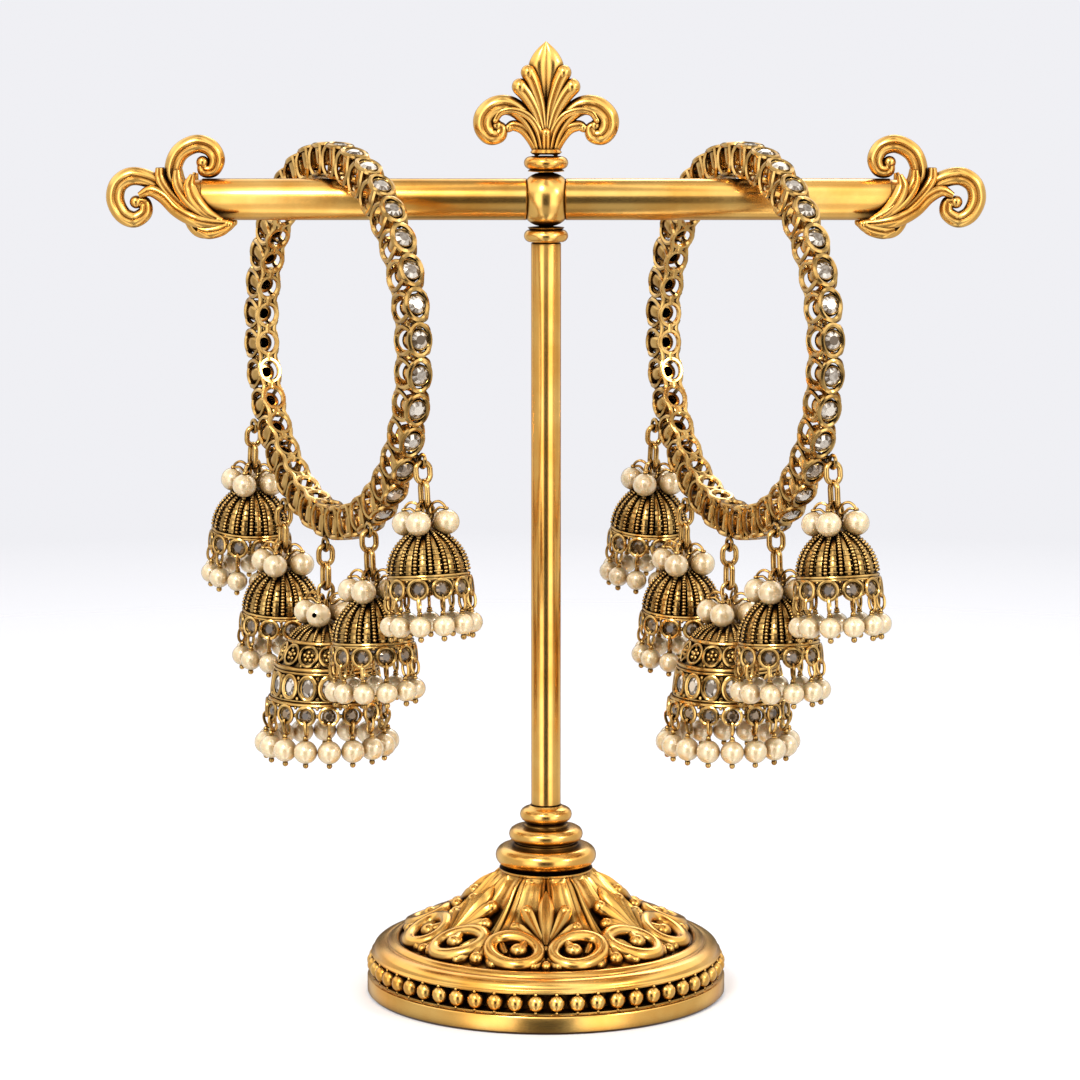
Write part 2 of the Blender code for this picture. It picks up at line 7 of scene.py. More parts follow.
import json
from math import asin, cos, exp, pi, radians, sin, sqrt, tau
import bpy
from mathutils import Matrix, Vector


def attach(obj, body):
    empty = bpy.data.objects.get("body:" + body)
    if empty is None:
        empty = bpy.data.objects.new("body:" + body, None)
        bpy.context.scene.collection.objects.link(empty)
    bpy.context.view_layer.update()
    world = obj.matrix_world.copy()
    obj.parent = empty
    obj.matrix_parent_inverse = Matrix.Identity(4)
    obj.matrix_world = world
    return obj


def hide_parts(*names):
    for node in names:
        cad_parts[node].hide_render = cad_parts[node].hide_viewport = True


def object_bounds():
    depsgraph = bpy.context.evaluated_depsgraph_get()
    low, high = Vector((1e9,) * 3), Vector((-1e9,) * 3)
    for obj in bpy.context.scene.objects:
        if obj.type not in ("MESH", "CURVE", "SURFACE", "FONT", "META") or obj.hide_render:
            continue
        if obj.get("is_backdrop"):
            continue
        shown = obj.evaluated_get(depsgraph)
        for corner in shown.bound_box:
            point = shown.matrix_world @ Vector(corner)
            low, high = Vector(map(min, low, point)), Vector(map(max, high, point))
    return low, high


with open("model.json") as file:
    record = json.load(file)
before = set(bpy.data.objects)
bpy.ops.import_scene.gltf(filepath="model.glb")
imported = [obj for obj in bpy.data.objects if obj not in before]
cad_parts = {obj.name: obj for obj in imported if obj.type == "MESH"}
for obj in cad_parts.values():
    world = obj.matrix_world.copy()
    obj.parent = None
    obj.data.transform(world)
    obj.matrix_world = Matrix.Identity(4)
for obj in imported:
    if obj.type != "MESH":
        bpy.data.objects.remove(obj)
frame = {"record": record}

from types import SimpleNamespace

import bmesh
import bpy
from bpy.props import FloatProperty, FloatVectorProperty, IntProperty, PointerProperty
from mathutils import Matrix, Vector

bl_info = {
    "name": "Jhumka Bangles",
    "version": (1, 0, 0),
    "blender": (4, 5, 0),
    "location": "3D View > Sidebar > Jhumka",
    "description": "Builds a pair of jhumka charm bangles on a gilt display stand",
    "category": "Add Mesh",
}

CAD_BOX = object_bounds()
METRE = 1000.0
SEAT_GAP = 0.3
# The frame has materials named after its slots, so the finishes here end in a word of their own
FINISH_ENDING = "_finish"
# Corners nearer than this are merged, and edges sharper than this many degrees stay sharp
MERGE_DISTANCE = 0.0004
SHARP_ANGLE = 42
LINK_STEPS = 28
LINK_SIDES = 10


# Sizes and colours


def length(name, millimetres, description):
    return FloatProperty(
        name=name, description=description, default=millimetres / METRE, min=0, unit="LENGTH", precision=5
    )


def colour(name, red, green, blue, description):
    return FloatVectorProperty(
        name=name, description=description, default=(red, green, blue), min=0, max=1, size=3, subtype="COLOR"
    )


def count(name, number, description):
    return IntProperty(name=name, description=description, default=number, min=1)


class JHUMKA_PG_stand(bpy.types.PropertyGroup):
    """Sizes of the stand."""

    foot_radius: length("Foot radius", 33.5, "Radius of the round foot")
    foot_band: length("Foot band", 3.4, "Height of the plain band round the foot")
    foot_beads: count("Foot beads", 54, "Beads in the row round the foot")
    flutes: count("Flutes", 12, "Flutes of the foot's bell")
    flute_depth: length("Flute depth", 1.25, "How deep a flute is cut")
    motifs: count("Motifs", 6, "Palmettes round the foot")
    collar_foot: length("Collar foot", 23.7, "Height of the collar's underside")
    collar_top: length("Collar top", 35.2, "Height of the collar's upper face")
    post_radius: length("Post radius", 2.75, "Radius of the post")
    bar_radius: length("Bar radius", 3.8, "Radius of the crossbar")
    bar_height: length("Bar height", 148.0, "Height of the crossbar's centre")
    bar_half_length: length("Bar half length", 62.9, "From the middle of the crossbar to its end")
    ball_radius: length("Ball radius", 4.8, "Radius of the ball of the hub")
    ball_half_height: length("Ball half height", 5.4, "Half the height of the ball of the hub")
    hub_ring: length("Hub ring", 4.05, "Radius of the rings over and under the ball")
    hub_ring_height: length("Hub ring height", 2.5, "Height of the rings over and under the ball")
    scroll_size: length("Scroll size", 24.5, "Size that the end scrolls are drawn to")
    scroll_wire: length("Scroll bar", 1.6, "Thickest radius of the end scrolls")
    finial_height: length("Finial height", 20.4, "Height of the lily finial")
    finial_wire: length("Finial petal", 1.55, "Thickest radius of the finial's side curls")


class JHUMKA_PG_bangle(bpy.types.PropertyGroup):
    """Sizes of the bangles and of the links that the drops hang on."""

    wrist_radius: length("Wrist radius", 30.15, "Inside radius of a bangle")
    band_depth: length("Band depth", 6.3, "From the inside of the band to its outside")
    band_width: length("Band width", 5.0, "Width of the band along its axis")
    units: count("Stones", 36, "Stones round a band")
    hoop_wire: length("Hoop wire", 0.96, "Thickness of the hoop round a stone")
    cup_radius: length("Cup radius", 2.0, "Outside radius of a stone's cup")
    stone_radius: length("Stone radius", 1.6, "Radius of a stone of the band")
    link_wire: length("Link wire", 0.8, "Thickness of a link's wire where links hook together")
    link_swell: length("Link swell", 0.24, "How much thicker a link's wire is drawn than where it hooks")
    jump_ring_length: length("Jump ring length", 4.6, "Outside length of a jump ring")
    jump_ring_width: length("Jump ring width", 3.8, "Outside width of a jump ring")
    link_length: length("Link length", 5.6, "Outside length of the second link")
    link_width: length("Link width", 3.6, "Outside width of the second link")
    link_overlap: length("Link overlap", 0.38, "How far the second link bites into the jump ring")
    bail_wire: length("Bail wire", 0.8, "Thickness of a drop's bail")
    bail_length: length("Bail length", 4.2, "Outside length of a drop's bail")
    bail_width: length("Bail width", 3.7, "Outside width of a drop's bail")
    eye_wire: length("Eye wire", 0.7, "Thickness of the eye that a jump ring goes through")
    cluster_pearl: length("Cluster pearl", 2.3, "Radius of a pearl over a dome")
    cluster_ring: length("Cluster ring", 3.95, "From a drop's axis to the pearls over its dome")
    drill_radius: length("Drill hole", 0.46, "Radius of the hole that shows in one pearl")
    drill_depth: length("Drill depth", 1.7, "How deep the hole in that pearl goes")


class JHUMKA_PG_finishes(bpy.types.PropertyGroup):
    """Colours of the metals, the pearls and the stones."""

    polished: colour("Polished gold", 1.0, 0.60, 0.17, "Raised surfaces of the stand")
    polished_deep: colour("Polished shade", 0.88, 0.42, 0.075, "Deeper tone of the stand's gold")
    # Painted shade: the colour that the stand's gold is darkened to in recesses and grooves
    polished_recess: colour("Polished recess", 0.08, 0.032, 0.006, "Recesses of the stand's castings")
    antique: colour("Antique gold", 0.86, 0.54, 0.18, "Raised surfaces of the bangles")
    antique_deep: colour("Antique shade", 0.46, 0.25, 0.065, "Deeper tone of the bangles' gold")
    # Partly the antique patina of the bangles' hollows, partly painted shade in their recesses
    antique_recess: colour("Antique recess", 0.018, 0.009, 0.003, "Blackened recesses of the bangles")
    pearl: colour("Pearl", 0.86, 0.67, 0.39, "Body colour of the pearls")
    # Painted shade: the warm darker colour where pearls crowd together
    pearl_shade: colour("Pearl shade", 0.44, 0.26, 0.085, "Warm tone where the pearls crowd together")
    # Painted glints and painted shade: each stone facet takes the bright or the dark colour at random
    stone: colour("Stone", 0.80, 0.73, 0.64, "Bright facets of the stones")
    stone_shade: colour("Stone shade", 0.11, 0.07, 0.035, "Dark facets of the stones")
    # The smoky tint is the small stones' own; their bright and dark facets are painted glints and painted
    # shade
    smoke: colour("Smoky stone", 0.30, 0.20, 0.11, "Bright facets of the small smoky stones")
    smoke_shade: colour("Smoky shade", 0.05, 0.03, 0.015, "Dark facets of the small smoky stones")
    floor: colour("Floor", 0.86, 0.86, 0.89, "The plain pale floor")


SMALL_DROP = SimpleNamespace(
    stem=1.8,
    tiers=((4.3, 1.5), (6.3, 3.9), (7.3, 7.7)),
    skirt_radius=7.55,
    cell_level=10.05,
    cell_size=(1.74, 1.7),
    cell_stone=1.22,
    pearls=11,
    pearl_radius=1.95,
    pearl_ring=7.3,
    pearl_drop=16.6,
)
LARGE_DROP = SimpleNamespace(
    stem=4.0,
    tiers=((4.4, 0.9), (6.9, 2.9), (9.0, 7.4)),
    skirt_radius=11.1,
    cell_level=15.75,
    cell_size=(1.74, 1.62),
    cell_stone=1.12,
    pearls=16,
    pearl_radius=2.2,
    pearl_ring=11.3,
    pearl_drop=22.4,
)
# Where the drops hang: degrees round the band from its lowest point, the edge of the band, and the
# outward lean in degrees
DROPS = (
    SimpleNamespace(name="drop1", turn=-60, edge=1, lean=-6.5, kind=SMALL_DROP),
    SimpleNamespace(name="drop2", turn=-30, edge=-1, lean=-4.5, kind=SMALL_DROP),
    SimpleNamespace(name="main_drop", turn=0, edge=-1, lean=0, kind=LARGE_DROP),
    SimpleNamespace(name="drop3", turn=30, edge=-1, lean=4.5, kind=SMALL_DROP),
    SimpleNamespace(name="drop4", turn=60, edge=-1, lean=6.5, kind=SMALL_DROP),
)
BANGLES = (
    SimpleNamespace(name="left", along_bar=-38.9, yaw=27.7),
    SimpleNamespace(name="right", along_bar=35.8, yaw=23.6),
)
# An eye's room round the wire of its jump ring, its bite into the band, and its distance from the edge
EYE_PLAY = 0.2
EYE_BITE = 0.45
EYE_INSET = 0.42


def in_millimetres(group):
    """The lengths of a property group in millimetres, and its counts as they are."""
    values = {}
    for item in group.bl_rna.properties:
        if item.identifier not in {"rna_type", "name"}:
            scale = METRE if getattr(item, "unit", "NONE") == "LENGTH" else 1
            values[item.identifier] = getattr(group, item.identifier) * scale
    return SimpleNamespace(**values)


def stand_sizes():
    return in_millimetres(bpy.context.scene.jhumka_stand)


def bangle_sizes():
    """The bangle's sizes with those that follow from them."""
    size = in_millimetres(bpy.context.scene.jhumka_bangle)
    size.outer_radius = size.wrist_radius + size.band_depth
    size.eye_radius = (size.link_wire + 2 * SEAT_GAP + EYE_PLAY) / 2 + size.eye_wire / 2
    size.eye_reach = size.outer_radius + size.eye_radius + size.eye_wire / 2 - EYE_BITE
    size.eye_across = size.band_width / 2 - EYE_INSET
    size.hang_below_eye = size.eye_radius - size.eye_wire / 2 - SEAT_GAP - size.link_wire / 2
    size.ring_depth = (size.jump_ring_length - size.link_wire) / 2
    link_top = 2 * size.ring_depth - size.link_wire + size.link_overlap
    size.link_depth = link_top + (size.link_length - size.link_wire) / 2
    link_foot = link_top + size.link_length - size.link_wire
    bail_top = link_foot - size.link_wire / 2 - size.bail_wire / 2 - SEAT_GAP
    size.bail_foot = bail_top + size.bail_length - size.bail_wire
    return size


# Shapes in millimetres


def smooth_path(rows, steps=6):
    """Points on a smooth curve through rows of numbers, such as x, y, z and a radius."""
    rows = [Vector(row) for row in rows]
    path = []
    for index in range(len(rows) - 1):
        here, there = rows[index], rows[index + 1]
        before = rows[index - 1] if index else here + (here - there)
        after = rows[index + 2] if index + 2 < len(rows) else there + (there - here)
        for step in range(steps):
            t = step / steps
            pull = (there - before) * t + (2 * before - 5 * here + 4 * there - after) * t * t
            path.append(here + (pull + (3 * here - 3 * there + after - before) * t**3) / 2)
    return path + [rows[-1]]


def grooved(angle):
    """A bar's section with a groove along its front and back, flatter than it is wide."""
    across, out = sin(angle), cos(angle)
    channel = exp(-((across / 0.27) ** 2)) + 0.5 * exp(-(((abs(across) - 0.76) / 0.1) ** 2))
    return out * (1 - 0.38 * channel) * 0.98, across


def leaf(angle):
    """A flat leaf's section with a crease down its middle."""
    across, out = sin(angle), cos(angle)
    return out * (0.42 - 0.2 * exp(-((across / 0.16) ** 2))), across


class Shape:
    """The forms of one piece, gathered in one mesh."""

    def __init__(self):
        self.mesh = bmesh.new()

    def skin(self, rows, closed):
        """Faces between rows of corners, each row a closed ring."""
        pairs = list(zip(rows, rows[1:]))
        if closed:
            pairs.append((rows[-1], rows[0]))
        else:
            self.mesh.faces.new(reversed(rows[0]))
            self.mesh.faces.new(rows[-1])
        for row, following in pairs:
            for i in range(len(row)):
                j = (i + 1) % len(row)
                self.mesh.faces.new((row[i], row[j], following[j], following[i]))
        return self

    def tube(self, path, sides=8, closed=False, front=None, section=None, place=Matrix()):
        """A bar along a path of x, y, z and radius; section shapes it by the angle from its front."""
        points = [Vector(point[:3]) for point in path]
        last = len(points) - 1
        normal = Vector(front) if front else None
        rows = []
        for index, point in enumerate(points):
            before = points[index - 1] if index or closed else point
            after = points[(index + 1) % len(points)] if index < last or closed else point
            along = (after - before).normalized()
            normal = normal or along.orthogonal()
            normal = (normal - along * normal.dot(along)).normalized()
            side = along.cross(normal)
            row = []
            for step in range(sides):
                angle = tau * step / sides
                out, across = section(angle) if section else (cos(angle), sin(angle))
                spot = point + path[index][3] * (normal * out + side * across)
                row.append(self.mesh.verts.new(place @ spot))
            rows.append(row)
        return self.skin(rows, closed)

    def oval(self, centre, first, second, wire, steps=24, sides=8, place=Matrix()):
        """A closed ring of wire round a centre, with two half axes."""
        centre, first, second = Vector(centre), Vector(first), Vector(second)
        path = []
        for step in range(steps):
            angle = tau * step / steps
            path.append((*(centre + first * cos(angle) + second * sin(angle)), wire))
        return self.tube(path, sides, True, first.cross(second), place=place)

    def link(self, size_long, size_wide, wire, place=Matrix()):
        """An oval link of wire in the XZ plane, straight along its sides."""
        stretch = (size_long - size_wide) / 2
        reach = (size_wide - wire) / 2
        path = []
        for step in range(LINK_STEPS):
            angle = tau * (step + 0.5) / LINK_STEPS
            lift = stretch if sin(angle) > 0 else -stretch
            path.append((reach * cos(angle), 0, reach * sin(angle) + lift, wire / 2))
        return self.tube(path, LINK_SIDES, True, (0, 1, 0), place=place)

    def turned(self, outline, steps=48, carve=None, loop=False, place=Matrix()):
        """A form turned about Z from an outline of radius and height, closed on the axis or as a loop."""
        rows = []
        for step in range(steps):
            angle = tau * step / steps
            row = []
            for radius, height in outline:
                reach = radius - (carve(angle, radius, height) if carve else 0)
                spot = Vector((reach * cos(angle), reach * sin(angle), height))
                row.append(self.mesh.verts.new(place @ spot))
            rows.append(row)
        span = len(outline) if loop else len(outline) - 1
        for index, row in enumerate(rows):
            following = rows[(index + 1) % steps]
            for i in range(span):
                j = (i + 1) % len(row)
                self.mesh.faces.new((row[i], following[i], following[j], row[j]))
        return self

    def ball(self, centre, radius, squash=(1, 1, 1), steps=12, place=Matrix()):
        spot = place @ Matrix.Translation(centre) @ Matrix.Diagonal((*squash, 1))
        bmesh.ops.create_uvsphere(
            self.mesh, u_segments=steps, v_segments=max(steps * 2 // 3, 4), radius=radius, matrix=spot
        )
        return self

    def gem(self, place, wide, tall, depth=0.55, crown=0.3):
        """A brilliant cut stone that faces +Z of its place: table, crown facets, girdle and pavilion."""
        add = self.mesh.verts.new
        table = [
            add(place @ Vector((0.56 * wide * cos(a), 0.56 * tall * sin(a), crown * wide)))
            for a in (tau * k / 8 for k in range(8))
        ]
        girdle = [
            add(place @ Vector((wide * cos(a), tall * sin(a), 0)))
            for a in (tau * k / 16 for k in range(16))
        ]
        culet = add(place @ Vector((0, 0, -depth * wide)))
        self.mesh.faces.new(table)
        for k in range(8):
            here, there = table[k], table[(k + 1) % 8]
            self.mesh.faces.new((here, girdle[2 * k - 1], girdle[2 * k]))
            self.mesh.faces.new((here, girdle[2 * k], girdle[2 * k + 1]))
            self.mesh.faces.new((here, girdle[2 * k + 1], there))
        for k in range(16):
            self.mesh.faces.new((girdle[k], culet, girdle[(k + 1) % 16]))
        return self

    def object(self, name, finish=None, faceted=False):
        """The forms as an object of their own, smooth apart from sharp edges."""
        bmesh.ops.remove_doubles(self.mesh, verts=self.mesh.verts, dist=MERGE_DISTANCE)
        bmesh.ops.recalc_face_normals(self.mesh, faces=self.mesh.faces)
        made = bpy.data.meshes.new(name)
        self.mesh.to_mesh(made)
        self.mesh.free()
        if not faceted:
            made.shade_smooth()
            made.set_sharp_from_angle(angle=radians(SHARP_ANGLE))
        if finish:
            made.materials.append(finish)
        thing = bpy.data.objects.new(name, made)
        bpy.context.scene.collection.objects.link(thing)
        return thing


def joined(name, things):
    """Several objects as one, with each one's finish."""
    with bpy.context.temp_override(
        active_object=things[0], object=things[0], selected_objects=things, selected_editable_objects=things
    ):
        bpy.ops.object.join()
    things[0].name = name
    return things[0]


def finished(thing, name, node, place=Matrix()):
    """Turns a form in millimetres into a piece in metres, in place of a node of the frame."""
    mesh = thing.data.copy()
    mesh.name = name
    mesh.transform(Matrix.Scale(1 / METRE, 4) @ place)
    piece = bpy.data.objects.new(name, mesh)
    bpy.context.scene.collection.objects.link(piece)
    bodies = frame["record"]["behaviour"]["bodies"]
    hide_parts(node)
    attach(piece, next(body for body, nodes in bodies.items() if node in nodes))
    return piece


def discard(*things):
    for thing in things:
        bpy.data.objects.remove(thing)


# Geometry Nodes


class Tree:
    """A Geometry Nodes tree whose inputs have names."""

    def __init__(self, name, **inputs):
        self.group = bpy.data.node_groups.new(name, "GeometryNodeTree")
        interface = self.group.interface
        interface.new_socket("Geometry", in_out="INPUT", socket_type="NodeSocketGeometry")
        for label, (kind, value) in inputs.items():
            socket = interface.new_socket(label, in_out="INPUT", socket_type=kind)
            if value is not None:
                socket.default_value = value
        interface.new_socket("Geometry", in_out="OUTPUT", socket_type="NodeSocketGeometry")
        self.inputs = self.group.nodes.new("NodeGroupInput").outputs

    def node(self, kind, settings=None, values=None, output=0):
        """Adds a node with its settings and its sockets' values or links, and gives one of its outputs."""
        made = self.group.nodes.new(kind)
        for key, value in (settings or {}).items():
            setattr(made, key, value)
        for key, value in (values or {}).items():
            if isinstance(value, bpy.types.NodeSocket):
                self.group.links.new(value, made.inputs[key])
            else:
                made.inputs[key].default_value = value
        return made.outputs[output]

    def marked(self, geometry, name, domain):
        """Keeps a random value from 0 to 1 on each copy or face, under a name that a finish reads."""
        seed = {"Seed": self.inputs["Seed"]}
        chance = self.node("FunctionNodeRandomValue", {"data_type": "FLOAT"}, seed, 1)
        return self.node(
            "GeometryNodeStoreNamedAttribute",
            {"data_type": "FLOAT", "domain": domain},
            {"Geometry": geometry, "Name": name, "Value": chance},
        )

    def finish(self, instances):
        """Ends the tree: real geometry, a random value on each face for the stones' painted glints, and the
        finish.
        """
        real = self.node("GeometryNodeRealizeInstances", None, {"Geometry": instances})
        marked = self.marked(real, "sparkle", "FACE")
        coated = self.node(
            "GeometryNodeSetMaterial", None, {"Geometry": marked, "Material": self.inputs["Finish"]}
        )
        self.group.links.new(coated, self.group.nodes.new("NodeGroupOutput").inputs["Geometry"])
        return self.group


def round_tree():
    """Repeats a form about the Z axis."""
    tree = Tree(
        "repeat_round",
        Count=("NodeSocketInt", 12),
        Phase=("NodeSocketFloat", 0.0),
        Seed=("NodeSocketInt", 1),
        Finish=("NodeSocketMaterial", None),
    )
    count_in = tree.inputs["Count"]
    spots = tree.node("GeometryNodePoints", None, {"Count": count_in})
    turn = tree.node("ShaderNodeMath", {"operation": "DIVIDE"}, {0: tau, 1: count_in})
    index = tree.node("GeometryNodeInputIndex")
    angle = tree.node(
        "ShaderNodeMath", {"operation": "MULTIPLY_ADD"}, {0: index, 1: turn, 2: tree.inputs["Phase"]}
    )
    euler = tree.node("ShaderNodeCombineXYZ", None, {"Z": angle})
    rotation = tree.node("FunctionNodeEulerToRotation", None, {"Euler": euler})
    copies = tree.node(
        "GeometryNodeInstanceOnPoints",
        None,
        {"Points": spots, "Instance": tree.inputs["Geometry"], "Rotation": rotation},
    )
    return tree.finish(tree.marked(copies, "tone", "INSTANCE"))


def granule_tree():
    """Sets granules side by side along a line."""
    tree = Tree(
        "granules_along",
        Count=("NodeSocketInt", 12),
        Radius=("NodeSocketFloat", 0.3),
        Squash=("NodeSocketFloat", 0.8),
        Seed=("NodeSocketInt", 1),
        Finish=("NodeSocketMaterial", None),
    )
    line = tree.node("GeometryNodeMeshToCurve", None, {"Mesh": tree.inputs["Geometry"]})
    spaced = tree.node("GeometryNodeResampleCurve", None, {"Curve": line, "Count": tree.inputs["Count"]})
    granule = tree.node(
        "GeometryNodeMeshUVSphere", None, {"Segments": 6, "Rings": 5, "Radius": tree.inputs["Radius"]}
    )
    tangent = tree.node("GeometryNodeInputTangent")
    turned = tree.node("FunctionNodeAlignRotationToVector", {"axis": "Z"}, {"Vector": tangent})
    squashed = tree.node("ShaderNodeCombineXYZ", None, {"X": 1.0, "Y": 1.0, "Z": tree.inputs["Squash"]})
    copies = tree.node(
        "GeometryNodeInstanceOnPoints",
        None,
        {"Points": spaced, "Instance": granule, "Rotation": turned, "Scale": squashed},
    )
    smooth = tree.node("GeometryNodeRealizeInstances", None, {"Geometry": copies})
    return tree.finish(tree.node("GeometryNodeSetShadeSmooth", None, {"Geometry": smooth}))


def with_tree(thing, group, **inputs):
    """Runs a tree on an object and keeps the result as its plain mesh."""
    modifier = thing.modifiers.new(group.name, "NODES")
    modifier.node_group = group
    for item in group.interface.items_tree:
        if item.item_type == "SOCKET" and item.in_out == "INPUT" and item.name in inputs:
            modifier[item.identifier] = inputs[item.name]
    bpy.context.view_layer.update()
    seen = thing.evaluated_get(bpy.context.evaluated_depsgraph_get())
    thing.data = bpy.data.meshes.new_from_object(seen)
    thing.modifiers.remove(modifier)
    return thing


def repeated(thing, number, finish, phase=0.0, seed=1):
    """An object repeated about the Z axis; phase is a share of the step between two copies."""
    group = bpy.data.node_groups.get("repeat_round") or round_tree()
    return with_tree(thing, group, Count=number, Phase=phase * tau / number, Seed=seed, Finish=finish)


def around(shape, number, finish, phase=0.0, seed=1, faceted=False):
    """A form as an object, repeated about the Z axis."""
    return repeated(shape.object("round", finish, faceted), number, finish, phase, seed)


def granulated(lines, number, radius, finish, squash=0.8):
    """Granules along each line of points."""
    group = bpy.data.node_groups.get("granules_along") or granule_tree()
    made = bpy.data.meshes.new("line")
    corners = [tuple(point) for line in lines for point in line]
    edges = []
    start = 0
    for line in lines:
        edges += [(start + i, start + i + 1) for i in range(len(line) - 1)]
        start += len(line)
    made.from_pydata(corners, edges, [])
    made.materials.append(finish)
    thing = bpy.data.objects.new("granules", made)
    bpy.context.scene.collection.objects.link(thing)
    return with_tree(thing, group, Count=number, Radius=radius, Squash=squash, Finish=finish)


# Finishes


class Value:
    """A shader socket that takes part in Python arithmetic through Math nodes."""

    def __init__(self, finish, socket):
        self.finish = finish
        self.socket = socket

    def with_other(self, operation, first, second):
        return self.finish.node("ShaderNodeMath", {"operation": operation}, {0: first, 1: second})

    def __add__(self, other):
        return self.with_other("ADD", self, other)

    def __radd__(self, other):
        return self.with_other("ADD", other, self)

    def __sub__(self, other):
        return self.with_other("SUBTRACT", self, other)

    def __rsub__(self, other):
        return self.with_other("SUBTRACT", other, self)

    def __mul__(self, other):
        return self.with_other("MULTIPLY", self, other)

    def __rmul__(self, other):
        return self.with_other("MULTIPLY", other, self)


class Shading:
    """A shader's node tree, which grows by one method."""

    def __init__(self, tree):
        self.tree = tree

    def node(self, kind, settings=None, values=None, output=0):
        """Adds a node with its settings and its sockets' values or links, and gives one of its outputs."""
        made = self.tree.nodes.new(kind)
        for key, value in (settings or {}).items():
            if key == "stops":
                self.set_stops(made.color_ramp, value)
            else:
                setattr(made, key, value)
        for key, value in (values or {}).items():
            if isinstance(value, Value):
                self.tree.links.new(value.socket, made.inputs[key])
            else:
                made.inputs[key].default_value = value
        return Value(self, made.outputs[output])

    @staticmethod
    def set_stops(ramp, stops):
        for index, (position, level) in enumerate(stops):
            stop = ramp.elements[index] if index < 2 else ramp.elements.new(position)
            stop.position = position
            stop.color = (level, level, level, 1)

    def ramp(self, value, *stops):
        return self.node("ShaderNodeValToRGB", {"stops": stops}, {"Fac": value})

    def mix(self, share, first, second):
        """A colour between two others."""
        sockets = {"Factor": share, 6: first, 7: second}
        return self.node("ShaderNodeMix", {"data_type": "RGBA"}, sockets, 2)

    def noise(self, scale, detail=3.0):
        place = self.node("ShaderNodeTexCoord", output="Object")
        return self.node("ShaderNodeTexNoise", None, {"Vector": place, "Scale": scale, "Detail": detail})


class Finish(Shading):
    """A material and the nodes that feed its Principled shader."""

    def __init__(self, name, **constants):
        self.material = bpy.data.materials.new(name + FINISH_ENDING)
        self.material.use_nodes = True
        super().__init__(self.material.node_tree)
        self.shader = self.tree.nodes["Principled BSDF"]
        for key, value in constants.items():
            self.shader.inputs[key.replace("_", " ")].default_value = value

    def feed(self, **values):
        for key, value in values.items():
            self.tree.links.new(value.socket, self.shader.inputs[key.replace("_", " ")])

    def openness(self, distance):
        """How open the surface is to its surroundings: 1 on raised forms, near 0 in recesses. The finishes
        use it to paint shade into colour.
        """
        return self.node("ShaderNodeAmbientOcclusion", {"samples": 6}, {"Distance": distance / METRE}, "AO")

    def bump(self, height, strength, distance):
        return self.node(
            "ShaderNodeBump", None, {"Height": height, "Strength": strength, "Distance": distance / METRE}
        )


def rgba(values):
    return (*values, 1.0)


def polished_gold():
    """Bright gold plate over a casting, with painted shade darkening its recesses and grooves."""
    tones = bpy.context.scene.jhumka_finishes
    finish = Finish("polished_gold", Metallic=1.0)
    cloud = finish.noise(110, 4)
    ripple = finish.noise(330, 2)
    grain = finish.noise(5200, 3)
    # Painted shade: ambient occlusion over 2.6 mm and over 0.6 mm darkens the colour towards the recess
    # colour in hollows and fine grooves
    hollow_shade = finish.ramp(finish.openness(2.6), (0.46, 0.0), (0.90, 1.0))
    groove = finish.ramp(finish.openness(0.6), (0.50, 0.0), (0.92, 1.0))
    open_share = hollow_shade * groove
    patches = finish.ramp(cloud, (0.32, 0.0), (0.66, 1.0))
    gold = finish.mix(patches, rgba(tones.polished_deep), rgba(tones.polished))
    finish.feed(
        Base_Color=finish.mix(open_share, rgba(tones.polished_recess), gold),
        Roughness=0.36 - open_share * 0.18 + grain * 0.08,
        Normal=finish.bump(ripple + grain * 0.10, 0.08, 0.20),
    )
    return finish.material


def worn_gold(name, lightest, darkest):
    """Antique gold plate, worn bright where it is open and blackened where it is closed in: the blackening is
    partly the antique patina and partly painted shade, both read from ambient occlusion.
    """
    tones = bpy.context.scene.jhumka_finishes
    finish = Finish(name, Metallic=1.0)
    cloud = finish.noise(300, 4)
    grain = finish.noise(2600, 4)
    # Antique patina and painted shade: ambient occlusion, with a little random cloud, darkens the colour
    # towards the recess colour where the surface is closed in
    open_share = finish.ramp(finish.openness(1.5) + (cloud - 0.5) * 0.22, (darkest, 0.0), (lightest, 1.0))
    patches = finish.ramp(cloud, (0.3, 0.0), (0.66, 1.0))
    gold = finish.mix(patches, rgba(tones.antique_deep), rgba(tones.antique))
    finish.feed(
        Base_Color=finish.mix(open_share, rgba(tones.antique_recess), gold),
        Roughness=0.36 - open_share * 0.24 + grain * 0.08,
        Normal=finish.bump(grain, 0.10, 0.12),
    )
    return finish.material


def antique_gold():
    return worn_gold("antique_gold", 0.90, 0.48)


# Near-black gold: almost every point takes the recess colour; where it lines the pearl's drill hole it is
# painted shade
def blackened_gold():
    return worn_gold("blackened_gold", 1.5, 0.70)


